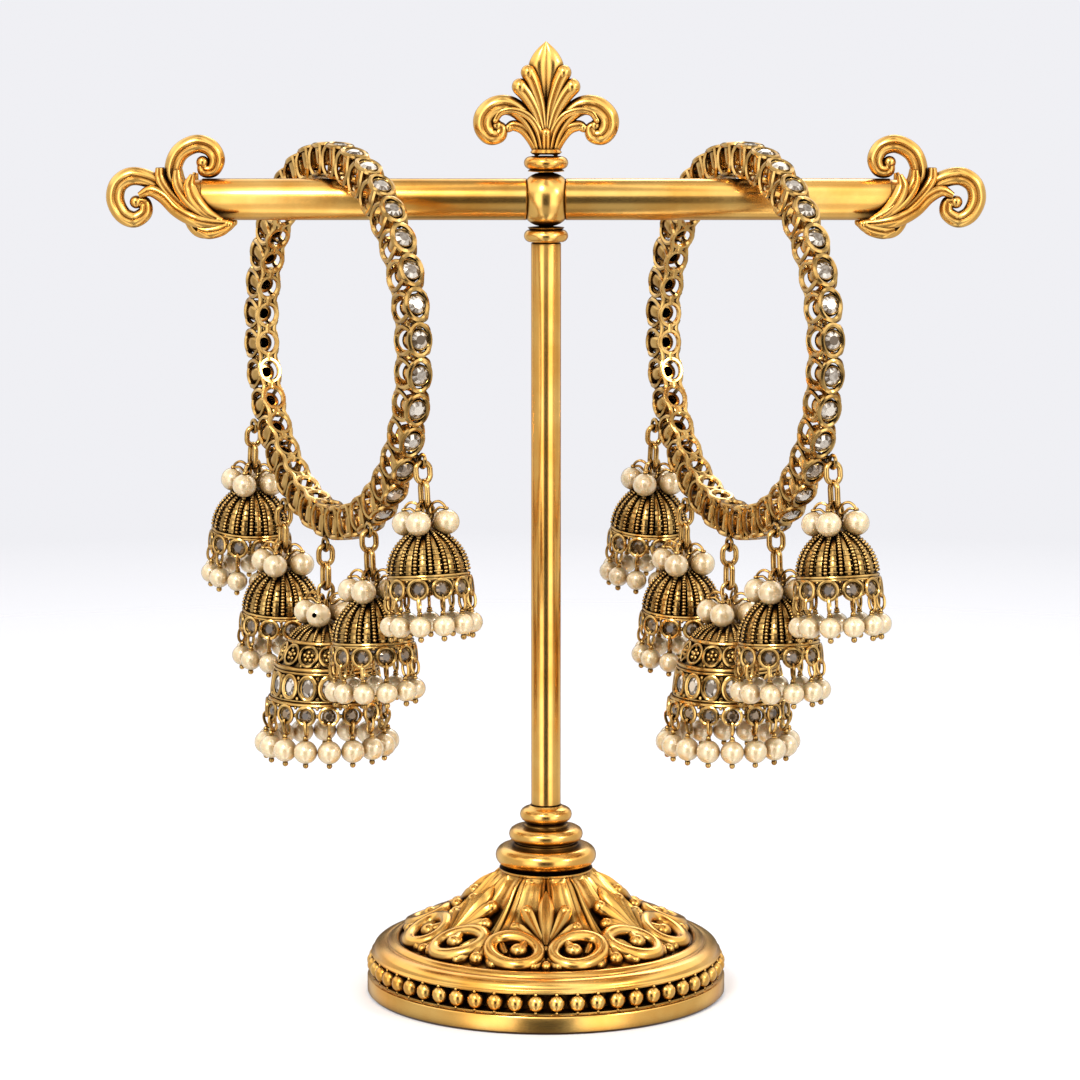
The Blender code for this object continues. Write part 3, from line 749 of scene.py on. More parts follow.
def pearl_cream():
    """Imitation pearl: cream with a soft coat, with painted shade, warmer and darker, where pearls crowd
    together.
    """
    tones = bpy.context.scene.jhumka_finishes
    finish = Finish(
        "pearl_cream",
        Metallic=0.3,
        Subsurface_Weight=0.1,
        Subsurface_Scale=0.001,
        Coat_Weight=1.0,
        Coat_Roughness=0.15,
        Coat_IOR=2.0,
        Specular_IOR_Level=0.7,
    )
    cloud = finish.noise(420, 3)
    tone = finish.node("ShaderNodeAttribute", {"attribute_name": "tone"}, None, "Fac")
    # Painted shade: ambient occlusion warms and darkens the colour where pearls and wires crowd together;
    # cloud and tone vary it at random
    openness = finish.openness(3.0) + (cloud - 0.5) * 0.15 + (tone - 0.5) * 0.16
    open_share = finish.ramp(openness, (0.40, 0.0), (1.0, 1.0))
    finish.feed(
        Base_Color=finish.mix(open_share, rgba(tones.pearl_shade), rgba(tones.pearl)),
        Roughness=0.22 + cloud * 0.10,
        Normal=finish.bump(finish.noise(1500, 2), 0.04, 0.1),
    )
    return finish.material


def stone_finish(name, light, dark):
    """Foil-backed cut crystal: each facet is painted bright or dark at random, painted glints and painted
    shade in place of the light that it would catch.
    """
    finish = Finish(name, Metallic=0.4, Coat_Weight=1.0, Coat_Roughness=0.02, IOR=1.6)
    chance = finish.node("ShaderNodeAttribute", {"attribute_name": "sparkle"}, None, "Fac")
    flaw = finish.noise(1800, 2)
    # Painted glints and painted shade: a random value on each facet picks its bright or its dark colour
    bright = finish.ramp(chance + (flaw - 0.5) * 0.5, (0.25, 0.0), (0.80, 1.0))
    finish.feed(Base_Color=finish.mix(bright, rgba(dark), rgba(light)), Roughness=0.05 + flaw * 0.08)
    return finish.material


def clear_stone():
    tones = bpy.context.scene.jhumka_finishes
    return stone_finish("clear_stone", tones.stone, tones.stone_shade)


def smoky_stone():
    tones = bpy.context.scene.jhumka_finishes
    return stone_finish("smoky_stone", tones.smoke, tones.smoke_shade)


def finish_of(name):
    """A finish by its name, made the first time that it is asked for."""
    makers = {
        "polished_gold": polished_gold,
        "antique_gold": antique_gold,
        "blackened_gold": blackened_gold,
        "pearl_cream": pearl_cream,
        "clear_stone": clear_stone,
        "smoky_stone": smoky_stone,
    }
    return bpy.data.materials.get(name + FINISH_ENDING) or makers[name]()


# Stand


def bead_outline(radius, height, level, steps=9):
    """A rounded moulding from its top to its underside."""
    rim = []
    for step in range(steps):
        angle = pi / 2 - pi * step / (steps - 1)
        rim.append((radius - height / 2 + height / 2 * cos(angle), level + height / 2 * sin(angle)))
    return rim


# The bell of the foot, from the moulding in to the collar: reach and height
BELL = (
    (27.4, 9.7), (23.5, 11.3), (19.6, 13.1), (16.6, 15.1),
    (14.1, 17.3), (12.1, 19.4), (10.4, 21.4), (8.6, 22.9),
)
# The flutes start at this reach and height, inside the ogee, and end at this height, under the collar
FLUTE_REACH = 23
FLUTE_FOOT = 10.5
FLUTE_TOP = 23.1


def on_bell(across, reach, lift=0.0):
    """A point on the bell's face towards +X."""
    height = BELL[-1][1]
    for (far, low), (near, high) in zip(BELL, BELL[1:]):
        if reach >= near:
            height = low + (high - low) * (far - reach) / (far - near)
            break
    return sqrt(max(reach**2 - across**2, 1)), across, height + lift


class JHUMKA_OT_foot(bpy.types.Operator):
    """Builds the fluted foot with its bead row and cast relief"""

    bl_idname = "jhumka.foot"
    bl_label = "Foot"

    def execute(self, context):
        size = stand_sizes()
        gold = finish_of("polished_gold")
        parts = [self.bell(size).object("bell", gold)]
        parts.append(around(self.bead(size), int(size.foot_beads), gold))
        parts.append(around(self.motif(), int(size.motifs), gold, -0.25 * size.motifs))
        parts.append(around(self.spandrel(), int(size.motifs), gold, 0.5 - 0.25 * size.motifs))
        foot = joined("foot", parts)
        finished(foot, "fluted_foot", "stand_foot")
        discard(foot)
        return {"FINISHED"}

    @staticmethod
    def bell(size):
        """The turned body, its bell drawn in to flutes between pairs of narrow ridges."""
        radius = size.foot_radius
        band = size.foot_band
        rows = [(0, 0), (radius - 0.5, 0), (radius, 0.5), (radius, band - 0.35), (radius - 0.15, band - 0.1)]
        rows += [(radius - 0.55, band), (radius - 0.7, band + 0.15), (radius - 0.7, band + 0.4)]
        rows += [(radius - 1.0, band + 0.5), (radius - 3.0, band + 0.7), (radius - 3.0, band + 3.5)]
        rows += [(radius - 1.2, band + 3.75), (radius - 0.85, band + 3.9), (radius - 0.75, band + 4.15)]
        rows += [(radius - 0.95, band + 4.4)]
        ogee = [(32.4, 7.9), (32.1, 8.7), (31.3, 9.35), (30.3, 9.6), (29.7, 9.55), (29.5, 9.85), (28.9, 10.3)]
        ogee += [(28.2, 10.4), (27.6, 10.1)]
        rows += [tuple(row) for row in smooth_path(ogee, 4)] + [tuple(row) for row in smooth_path(BELL, 6)]
        rows += [(8.7, 23.05), (8.7, 23.4), (0, 23.4)]
        flutes = int(size.flutes)

        def carve(angle, reach, height):
            if reach > FLUTE_REACH or height < FLUTE_FOOT:
                return 0
            swell = min((FLUTE_REACH - reach) / 2.5, 1) * min(max((FLUTE_TOP - height) / 0.9, 0), 1)
            widening = min(0.45 + reach / 22, 1.15)
            share = abs((angle * flutes / tau) % 1 - 0.5)
            channel = cos(pi * min(share / 0.80, 0.5)) ** 0.8
            ridges = exp(-(((share - 0.425) / 0.035) ** 2)) + 0.55 * exp(-(((share - 0.31) / 0.030) ** 2))
            seams = exp(-(((share - 0.5) / 0.022) ** 2)) + exp(-(((share - 0.365) / 0.018) ** 2))
            return swell * (size.flute_depth * channel - 0.5 * ridges + 0.5 * seams) * widening

        return Shape().turned(rows, 26 * flutes, carve)

    @staticmethod
    def bead(size):
        level = size.foot_band + 2.1
        reach = size.foot_radius - 1.6
        shape = Shape().ball((reach, 0, level), 1.7, (1, 0.98, 0.98), 16)
        for lift in (-1.7, 1.7):
            shape.ball((reach + 0.7, 0, level + lift), 0.36, steps=8)
        return shape

    @staticmethod
    def motif():
        """A palmette over a pair of ring scrolls, on the bell's face at +X."""
        shape = Shape()
        slope = (0.55, 0, 0.83)

        def leaf_bar(rows, side, lift=0.35, section=grooved):
            path = [(*on_bell(side * across, reach, lift), width) for across, reach, width in rows]
            shape.tube(smooth_path(path, 6), 14, front=slope, section=section)
            return path[-1]

        middle_leaf = ((0, 20.4, 0.7), (0, 18, 1.1), (0, 15.2, 1.75))
        middle_leaf += ((0, 13, 1.55), (0, 11.7, 0.85), (0, 10.9, 0.15))
        leaf_bar(middle_leaf, 1)
        for side in (1, -1):
            for rows in (
                ((0.4, 19.8, 0.5), (1.7, 17.2, 1.0), (2.9, 14.9, 1.45), (3.5, 13.9, 1.3)),
                ((0.7, 20.6, 0.6), (2.7, 18.9, 1.1), (4.6, 17.5, 1.5), (5.5, 16.9, 1.3)),
            ):
                end = leaf_bar(rows, side)
                shape.ball(end[:3], end[3] * 1.02, steps=14)
            ring = []
            for step in range(36):
                angle = tau * step / 36
                spot = on_bell(side * (5.75 + 4.45 * cos(angle)), 22.7 - 3.7 * sin(angle), 0.75)
                ring.append((*spot, 1.4 + 0.15 * cos(angle)))
            shape.tube(ring, 14, True, slope)
            drop = [(3.2, 19.3, 0.6), (4.1, 21.2, 0.95), (5.0, 22.7, 1.35)]
            end = leaf_bar(drop, side, 0.9, None)
            shape.ball(end[:3], 1.6, (1, 1.05, 0.95), 18)
            leaf_bar(((8.2, 20.6, 0.5), (7.9, 21.9, 0.85), (7.3, 23.4, 0.6)), side, 0.7)
            leaf_bar(((0.2, 24.2, 0.6), (1.3, 25.3, 1.0), (2.3, 26.0, 0.95)), side, 0.4)
            shape.ball(on_bell(side * 2.3, 26.0, 0.4), 1.0, steps=12)
        shape.ball(on_bell(0, 25.9, 0.45), 1.05, (1.25, 0.9, 1), 14)
        shape.ball(on_bell(0, 21.6, 0.4), 0.9, steps=12)
        return shape

    @staticmethod
    def spandrel():
        """The bud and spread leaves between two motifs."""
        shape = Shape()
        widths = ((19.6, 0.5), (21.4, 1.1), (23.6, 1.6), (25.2, 1.4))
        bud = [(*on_bell(0, reach, 0.5), width) for reach, width in widths]
        shape.tube(smooth_path(bud, 6), 14, front=(0.4, 0, 0.9), section=grooved)
        shape.ball(bud[-1][:3], 1.42, steps=14)
        for side in (1, -1):
            rows = ((0.5, 22.6, 0.5), (1.9, 24.0, 1.0), (3.1, 25.4, 1.2), (3.8, 26.2, 1.0))
            path = [(*on_bell(side * across, reach, 0.4), width) for across, reach, width in rows]
            shape.tube(smooth_path(path, 6), 12, front=(0.3, 0, 0.95), section=grooved)
            shape.ball(path[-1][:3], 1.02, steps=12)
        return shape


class JHUMKA_OT_collar(bpy.types.Operator):
    """Builds the three mouldings of the collar"""

    bl_idname = "jhumka.collar"
    bl_label = "Collar"

    def execute(self, context):
        size = stand_sizes()
        foot = size.collar_foot
        rows = [(0, size.collar_top), (3.0, size.collar_top), (3.2, size.collar_top - 0.2)]
        rows += bead_outline(4.85, 2.7, 33.45)
        rows += [(3.9, 31.8), (4.15, 31.6), (4.15, 31.35)]
        rows += bead_outline(6.9, 2.7, 29.75)
        rows += [(5.6, 28.2), (6.0, 28.05), (6.0, 27.7)]
        rows += bead_outline(9.4, 3.7, 25.75, 13)
        rows += [(8.2, foot), (0, foot)]
        collar = Shape().turned(rows, 96).object("collar", finish_of("polished_gold"))
        finished(collar, "collar_mouldings", "stand_collar")
        discard(collar)
        return {"FINISHED"}


class JHUMKA_OT_frame(bpy.types.Operator):
    """Builds the post, the hub and the two arms of the crossbar"""

    bl_idname = "jhumka.frame"
    bl_label = "Post, hub and arms"

    def execute(self, context):
        size = stand_sizes()
        gold = finish_of("polished_gold")
        hub_foot = size.bar_height - size.ball_half_height - size.hub_ring_height
        post = self.rod(size.post_radius, size.collar_top + 0.02, hub_foot - 0.02).object("post", gold)
        finished(post, "round_post", "stand_post")
        hub = self.hub(size).object("hub", gold)
        finished(hub, "ball_hub", "stand_hub", Matrix.Translation((0, 0, size.bar_height)))
        inner = size.ball_radius - 1.4
        arm = self.rod(size.bar_radius, inner, size.bar_half_length).object("arm", gold)
        lifted = Matrix.Translation((0, 0, size.bar_height))
        for name, turn in (("left", -pi / 2), ("right", pi / 2)):
            place = lifted @ Matrix.Rotation(turn, 4, "Y")
            finished(arm, "crossbar_" + name, "stand_arm_" + name, place)
        discard(post, hub, arm)
        return {"FINISHED"}

    @staticmethod
    def rod(radius, low, high):
        rounding = 0.25
        rows = [(0, low), (radius - rounding, low), (radius, low + rounding), (radius, high - rounding)]
        rows += [(radius - 0.07, high - 0.07), (radius - rounding, high), (0, high)]
        return Shape().turned(rows, 72)

    @staticmethod
    def hub(size):
        half = size.ball_half_height
        ring = half + size.hub_ring_height / 2
        moulding = bead_outline(size.hub_ring, size.hub_ring_height * 0.92, ring, 11)
        rows = [(0, ring + 1.2), (2.6, ring + 1.2)] + moulding + [(3.2, half - 0.05), (3.35, half - 0.3)]
        for step in range(1, 20):
            angle = pi / 2 - pi * step / 20
            rows.append((size.ball_radius * cos(angle) ** 0.76, (half - 0.45) * sin(angle)))
        rows += [(3.35, 0.3 - half), (3.2, 0.05 - half)]
        rows += [(reach, -level) for reach, level in reversed(moulding)]
        return Shape().turned(rows + [(2.6, -ring - 1.2), (0, -ring - 1.2)], 96)


# Each row is a point of a cast scroll: across and up as shares of the piece's size, then its thickness
# as a share
SCROLL_OUTER = (
    (0.02, -0.06, 0.8), (-0.08, -0.03, 0.95), (-0.19, 0.07, 0.95), (-0.33, 0.15, 1.0),
    (-0.46, 0.17, 1.05), (-0.555, 0.11, 1.05), (-0.58, 0.00, 1.05), (-0.53, -0.11, 1.0),
    (-0.44, -0.15, 0.95), (-0.36, -0.10, 0.85), (-0.365, -0.025, 0.75), (-0.425, -0.02, 0.6),
)
SCROLL_UPPER = (
    (0.02, -0.08, 0.75), (-0.08, 0.05, 0.9), (-0.145, 0.20, 1.0), (-0.10, 0.34, 1.05), (0.02, 0.41, 1.05),
    (0.13, 0.385, 1.0), (0.18, 0.30, 0.95), (0.15, 0.22, 0.85), (0.085, 0.215, 0.75), (0.075, 0.275, 0.6),
)
SCROLL_HEEL = (
    (-0.02, -0.10, 0.8), (0.00, -0.18, 0.85), (0.06, -0.235, 0.85), (0.17, -0.235, 0.75),
    (0.27, -0.20, 0.45),
)
# The leaves that sweep from the curls over the end of the crossbar
SCROLL_LEAVES = (
    (
        (-0.40, 0.03, 0.35), (-0.31, 0.065, 0.7), (-0.21, 0.02, 0.85), (-0.11, -0.075, 0.85),
        (0.02, -0.14, 0.85), (0.15, -0.17, 0.75), (0.265, -0.175, 0.5),
    ),
    ((-0.11, 0.22, 0.4), (-0.10, 0.12, 0.7), (-0.025, 0.01, 0.8), (0.085, -0.085, 0.75), (0.21, -0.15, 0.5)),
    ((0.01, 0.19, 0.3), (-0.01, 0.10, 0.75), (0.03, 0.0, 0.85), (0.11, -0.09, 0.7), (0.2, -0.145, 0.5)),
    (
        (-0.245, 0.235, 0.45), (-0.24, 0.15, 0.6), (-0.18, 0.06, 0.6), (-0.07, -0.045, 0.65),
        (0.065, -0.13, 0.5),
    ),
    ((0.045, -0.215, 0.5), (0.12, -0.235, 0.8), (0.22, -0.215, 0.75), (0.285, -0.18, 0.5)),
)
FINIAL_CURL = (
    (0.04, 0.00, 0.85), (0.09, 0.18, 0.95), (0.19, 0.34, 1.05), (0.32, 0.43, 1.15),
    (0.45, 0.425, 1.22), (0.545, 0.34, 1.25), (0.555, 0.24, 1.2), (0.50, 0.165, 1.1),
    (0.42, 0.17, 0.9), (0.40, 0.23, 0.7), (0.44, 0.255, 0.6),
)
FINIAL_CURL_RIB = (
    (0.02, 0.02, 0.5), (0.06, 0.20, 0.55), (0.15, 0.335, 0.55), (0.28, 0.39, 0.5), (0.40, 0.375, 0.45),
    (0.455, 0.30, 0.35),
)
FINIAL_INNER = (
    (0.05, 0.0, 0.7), (0.12, 0.13, 0.72), (0.20, 0.225, 0.72), (0.29, 0.255, 0.65), (0.335, 0.235, 0.55),
)
FINIAL_BUD = ((0, 0.0, 0.5), (0, 0.1, 0.55), (0, 0.19, 0.62))
FINIAL_LOBES = (
    ((0.015, 0.20, 0.35), (0.045, 0.42, 0.6), (0.10, 0.60, 0.82), (0.158, 0.725, 0.9)),
    ((0.02, 0.15, 0.4), (0.08, 0.36, 0.65), (0.16, 0.51, 0.88), (0.232, 0.60, 0.98)),
)
FINIAL_LEAF = (
    (0, 0.10, 0.5), (0, 0.35, 0.9), (0, 0.58, 1.25), (0, 0.70, 1.75), (0, 0.79, 2.05), (0, 0.87, 1.65),
    (0, 0.94, 0.95), (0, 1.0, 0.06),
)


def cast_bar(shape, rows, size, thick, side=1, depth=0.0, section=grooved, knob=1.0, over_bar=0.0):
    """A cast bar in the XZ plane through rows of shares, ended by a knob.

    over_bar is how far it stands off that plane where it lies on the end of the crossbar.
    """
    path = []
    for across, up, share in rows:
        lifted = over_bar * min(max((across + 0.24) / 0.26, 0), 1)
        path.append((side * across * size, depth + lifted, up * size, share * thick))
    facing = (0, 1, 0) if depth > 0 else (0, -1, 0)
    shape.tube(smooth_path(path, 7), 20, front=facing, section=section)
    if knob:
        shape.ball(path[-1][:3], path[-1][3] * knob, (1, 0.95, 1), 16)


class JHUMKA_OT_scrolls(bpy.types.Operator):
    """Builds the cast scrolls on the ends of the crossbar"""

    bl_idname = "jhumka.scrolls"
    bl_label = "End scrolls"

    def execute(self, context):
        size = stand_sizes()
        drawn, wire = size.scroll_size, size.scroll_wire
        half_plug, leaf_depth, leaf_lift = 1.3, 0.9, 3.0
        middle = size.bar_half_length + SEAT_GAP + half_plug
        bar_end, scroll_end = size.bar_radius * 0.94, size.bar_radius * 0.7
        for side, name in ((-1, "right"), (1, "left")):
            shape = Shape()
            for rows in (SCROLL_OUTER, SCROLL_UPPER):
                cast_bar(shape, rows, drawn, wire, side, knob=1.25)
            cast_bar(shape, SCROLL_HEEL, drawn, wire, side)
            for rows in SCROLL_LEAVES:
                for face in (-1, 1):
                    cast_bar(shape, rows, drawn, wire, side, face * leaf_depth, over_bar=face * leaf_lift)
            plug = [(0, -1.7), (bar_end, -1.7), (bar_end, 0.4), (scroll_end, 1.7), (0, 2.2)]
            shape.turned(plug, 48, place=Matrix.Rotation(-side * pi / 2, 4, "Y"))
            scroll = shape.object("scroll", finish_of("polished_gold"))
            place = Matrix.Translation((-side * middle, 0, size.bar_height))
            finished(scroll, "end_scroll_" + name, "stand_scroll_" + name, place)
            discard(scroll)
        return {"FINISHED"}


class JHUMKA_OT_finial(bpy.types.Operator):
    """Builds the lily finial"""

    bl_idname = "jhumka.finial"
    bl_label = "Finial"

    def execute(self, context):
        size = stand_sizes()
        tall, thick = size.finial_height, size.finial_wire
        shape = Shape()
        cast_bar(shape, FINIAL_LEAF, tall, thick, 1, section=leaf, knob=0)
        for side in (1, -1):
            cast_bar(shape, FINIAL_CURL, tall, thick, side, knob=1.2)
            cast_bar(shape, FINIAL_INNER, tall, thick, side)
            for depth in (-0.95, 0.95):
                cast_bar(shape, FINIAL_CURL_RIB, tall, thick, side, depth)
                for rows in FINIAL_LOBES:
                    cast_bar(shape, rows, tall, thick, side, depth)
        for depth in (-1.3, 1.3):
            cast_bar(shape, FINIAL_BUD, tall, thick, 1, depth)
        shape.turned([(0, 0), (2.5, 0), (2.9, 0.35), (2.5, 0.9), (0, 1.0)], 48)
        seat = size.bar_height + size.ball_half_height + size.hub_ring_height + SEAT_GAP
        finial = shape.object("finial", finish_of("polished_gold"))
        finished(finial, "lily_finial", "stand_finial", Matrix.Translation((0, 0, seat)))
        discard(finial)
        return {"FINISHED"}


# Bangles


def bangle_place(bangle):
    """From a bangle's own axes, X along its axis and Z up, to the frame's."""
    stand, size = stand_sizes(), bangle_sizes()
    centre = stand.bar_height + stand.bar_radius + SEAT_GAP - size.wrist_radius
    return Matrix.Translation((bangle.along_bar, 0, centre)) @ Matrix.Rotation(radians(bangle.yaw), 4, "Z")


def drop_place(bangle, drop):
    """From a drop's hanging point, Z up along the drop, to the frame's axes."""
    size = bangle_sizes()
    angle = radians(drop.turn)
    hang = Vector((drop.edge * size.eye_across, sin(angle) * size.eye_reach, -cos(angle) * size.eye_reach))
    hang.z -= size.hang_below_eye
    return bangle_place(bangle) @ Matrix.Translation(hang) @ Matrix.Rotation(radians(drop.lean), 4, "X")


def dome_place(bangle, drop):
    """From the top of a drop's dome to the frame's axes."""
    depth = bangle_sizes().bail_foot + drop.kind.stem
    return drop_place(bangle, drop) @ Matrix.Translation((0, 0, -depth))


def hung(kind):
    """The drops of one kind on both bangles: how their pieces' names start, and where their domes hang."""
    for bangle in BANGLES:
        for drop in DROPS:
            if drop.kind is kind:
                yield f"{bangle.name}_{drop.name}_", dome_place(bangle, drop)


def round_about_x():
    """Turns a ring made about Z to run about X, its +X point lowest."""
    return Matrix(((0, 0, 1, 0), (0, 1, 0, 0), (-1, 0, 0, 0), (0, 0, 0, 1)))


class JHUMKA_OT_bands(bpy.types.Operator):
    """Builds the bands of set stones, and the eyes that the drops hang from"""

    bl_idname = "jhumka.bands"
    bl_label = "Bands"

    def execute(self, context):
        size = bangle_sizes()
        gold = finish_of("antique_gold")
        units = int(size.units)
        setting = around(self.setting(size), units, gold, 0.5, 3)
        stones = around(self.stone(size), units, finish_of("clear_stone"), 0.5, 5, True)
        ring = joined("ring", [self.rims(size, units).object("rims", gold), setting, stones])
        ring.data.transform(round_about_x())
        ring = joined("ring", [ring, self.eyes(size).object("eyes", gold)])
        for bangle in BANGLES:
            name = bangle.name + "_band"
            finished(ring, bangle.name + "_stone_band", name, bangle_place(bangle))
        discard(ring)
        return {"FINISHED"}

    @staticmethod
    def eyes(size):
        """The eyes of the drops, each tied by a short bar to the barrel between two hoops."""
        bar_wire = 0.38
        inner_end, outer_end = size.outer_radius - 0.6, size.outer_radius - 0.25
        shape = Shape()
        for drop in DROPS:
            angle = radians(drop.turn)
            reach = size.eye_reach
            across = drop.edge * size.eye_across
            centre = (across, sin(angle) * reach, -cos(angle) * reach)
            shape.oval(centre, (0, size.eye_radius, 0), (0, 0, size.eye_radius), size.eye_wire / 2)
            barrel_end = (0, sin(angle) * inner_end, -cos(angle) * inner_end, bar_wire)
            eye_end = (across, sin(angle) * outer_end, -cos(angle) * outer_end, bar_wire)
            shape.tube([barrel_end, eye_end], 6)
        return shape

    @staticmethod
    def setting(size):
        """One stone's metalwork at +X: hoop, cup, inner ring, and the waisted wires and barrels beside it."""
        outer, inner = size.outer_radius, size.wrist_radius
        half = size.band_width / 2
        wire = size.hoop_wire / 2
        step = tau / size.units
        edge_reach = half - wire
        shape = Shape()
        hoop = (0, outer * sin(step / 2) - wire * 0.8, 0)
        shape.oval((outer - wire, 0, 0), hoop, (0, 0, edge_reach), wire, 24, 7)
        cup = size.cup_radius
        wall = [(cup - 0.42, -0.05), (cup - 0.22, 0.12), (cup, -0.15), (cup, -1.4), (cup - 0.15, -3.4)]
        wall += [(cup - 0.5, -3.9), (cup - 1.0, -3.9), (cup - 0.55, -3.2), (cup - 0.5, -1.5)]
        wall += [(cup - 0.48, -0.5)]
        upright = Matrix.Translation((outer - 0.3, 0, 0)) @ Matrix.Rotation(pi / 2, 4, "Y")
        shape.turned(wall, 20, loop=True, place=upright)
        ring_wire = 0.5
        ring = (0, inner * sin(step / 2) - ring_wire * 0.85, 0)
        shape.oval((inner + ring_wire, 0, 0), ring, (0, 0, half - ring_wire), ring_wire, 20, 7)
        between = Matrix.Rotation(step / 2, 4, "Z")
        side_wire = 0.42
        waist = (inner + outer) / 2 - 0.2
        for edge in (-1, 1):
            side = edge * (half - 0.36)
            for across in (-1, 1):
                path = [
                    (outer - 0.5, across * 1.5, side * 0.84, side_wire),
                    (outer - 1.7, across * 0.75, side, side_wire),
                    (waist, across * 0.42, side, side_wire),
                    (inner + 1.5, across * 0.75, side, side_wire),
                    (inner + 0.45, across * 1.5, side * 0.9, side_wire),
                ]
                shape.tube(smooth_path(path, 2), 6, place=between)
        for radius, thick, wide, long in ((outer - 0.6, 0.5, 1, 1.5), (inner + 0.55, 0.5, 2.1, 1.7)):
            barrel = [(0, -long / 2), (thick * 0.8, -long / 2), (thick, -long / 3), (thick * 0.86, -long / 6)]
            barrel += [(thick, 0), (thick * 0.86, long / 6), (thick, long / 3), (thick * 0.8, long / 2)]
            barrel += [(0, long / 2)]
            spot = between @ Matrix.Translation((radius, 0, 0)) @ Matrix.Rotation(pi / 2, 4, "X")
            shape.turned(barrel, 12, place=spot @ Matrix.Diagonal((1, wide, 1, 1)))
        return shape

    @staticmethod
    def stone(size):
        upright = Matrix.Translation((size.outer_radius - 0.42, 0, 0)) @ Matrix.Rotation(pi / 2, 4, "Y")
        return Shape().gem(upright, size.stone_radius, size.stone_radius, 1.1)

    @staticmethod
    def rims(size, units):
        """The two rims along the inside of the band, in shallow scallops."""
        shape = Shape()
        rim_wire, scallop = 0.42, 0.3
        reach = size.wrist_radius + 0.5
        steps = units * 8
        for edge in (-1, 1):
            path = []
            for step in range(steps):
                angle = tau * step / steps
                drawn_in = scallop * (1 + cos(units * angle))
                across = edge * (size.band_width / 2 - rim_wire - drawn_in)
                path.append((reach * cos(angle), reach * sin(angle), across, rim_wire))
            shape.tube(path, 7, True, (0, 0, 1))
        return shape


class JHUMKA_OT_chains(bpy.types.Operator):
    """Builds the jump ring and second link of every drop"""

    bl_idname = "jhumka.chains"
    bl_label = "Chains"

    def execute(self, context):
        size = bangle_sizes()
        shape = Shape()
        wire = size.link_wire + size.link_swell
        ring = Matrix.Translation((0, 0, -size.ring_depth))
        shape.link(size.jump_ring_length, size.jump_ring_width, wire, ring)
        second = Matrix.Translation((0, 0, -size.link_depth)) @ Matrix.Rotation(pi / 2, 4, "Z")
        shape.link(size.link_length, size.link_width, wire, second)
        chain = shape.object("chain", finish_of("antique_gold"))
        for bangle in BANGLES:
            for drop in DROPS:
                name = f"{bangle.name}_{drop.name}_"
                place = drop_place(bangle, drop)
                finished(chain, name + "links", name + "chain", place)
        discard(chain)
        return {"FINISHED"}


def cluster_height(kind, size):
    """How far above the dome's top the pearls lie when they rest on its shoulder."""
    reach = size.cluster_pearl + SEAT_GAP
    shoulder = [(radius, -depth) for radius, depth in kind.tiers]
    height = 0.0
    for (near, low), (far, lower) in zip([(0.6, 0.0), *shoulder], shoulder):
        for step in range(21):
            radius = near + (far - near) * step / 20
            away = abs(size.cluster_ring - radius)
            if away < reach:
                height = max(height, low + (lower - low) * step / 20 + sqrt(reach**2 - away**2))
    return height


CLUSTER_PEARLS = 4
# The pearl whose drill hole shows: its drop, and which way the hole looks, in degrees
DRILLED_DROP = "left_main_drop_"
DRILLED_TURN = 225
DRILLED_RISE = 9


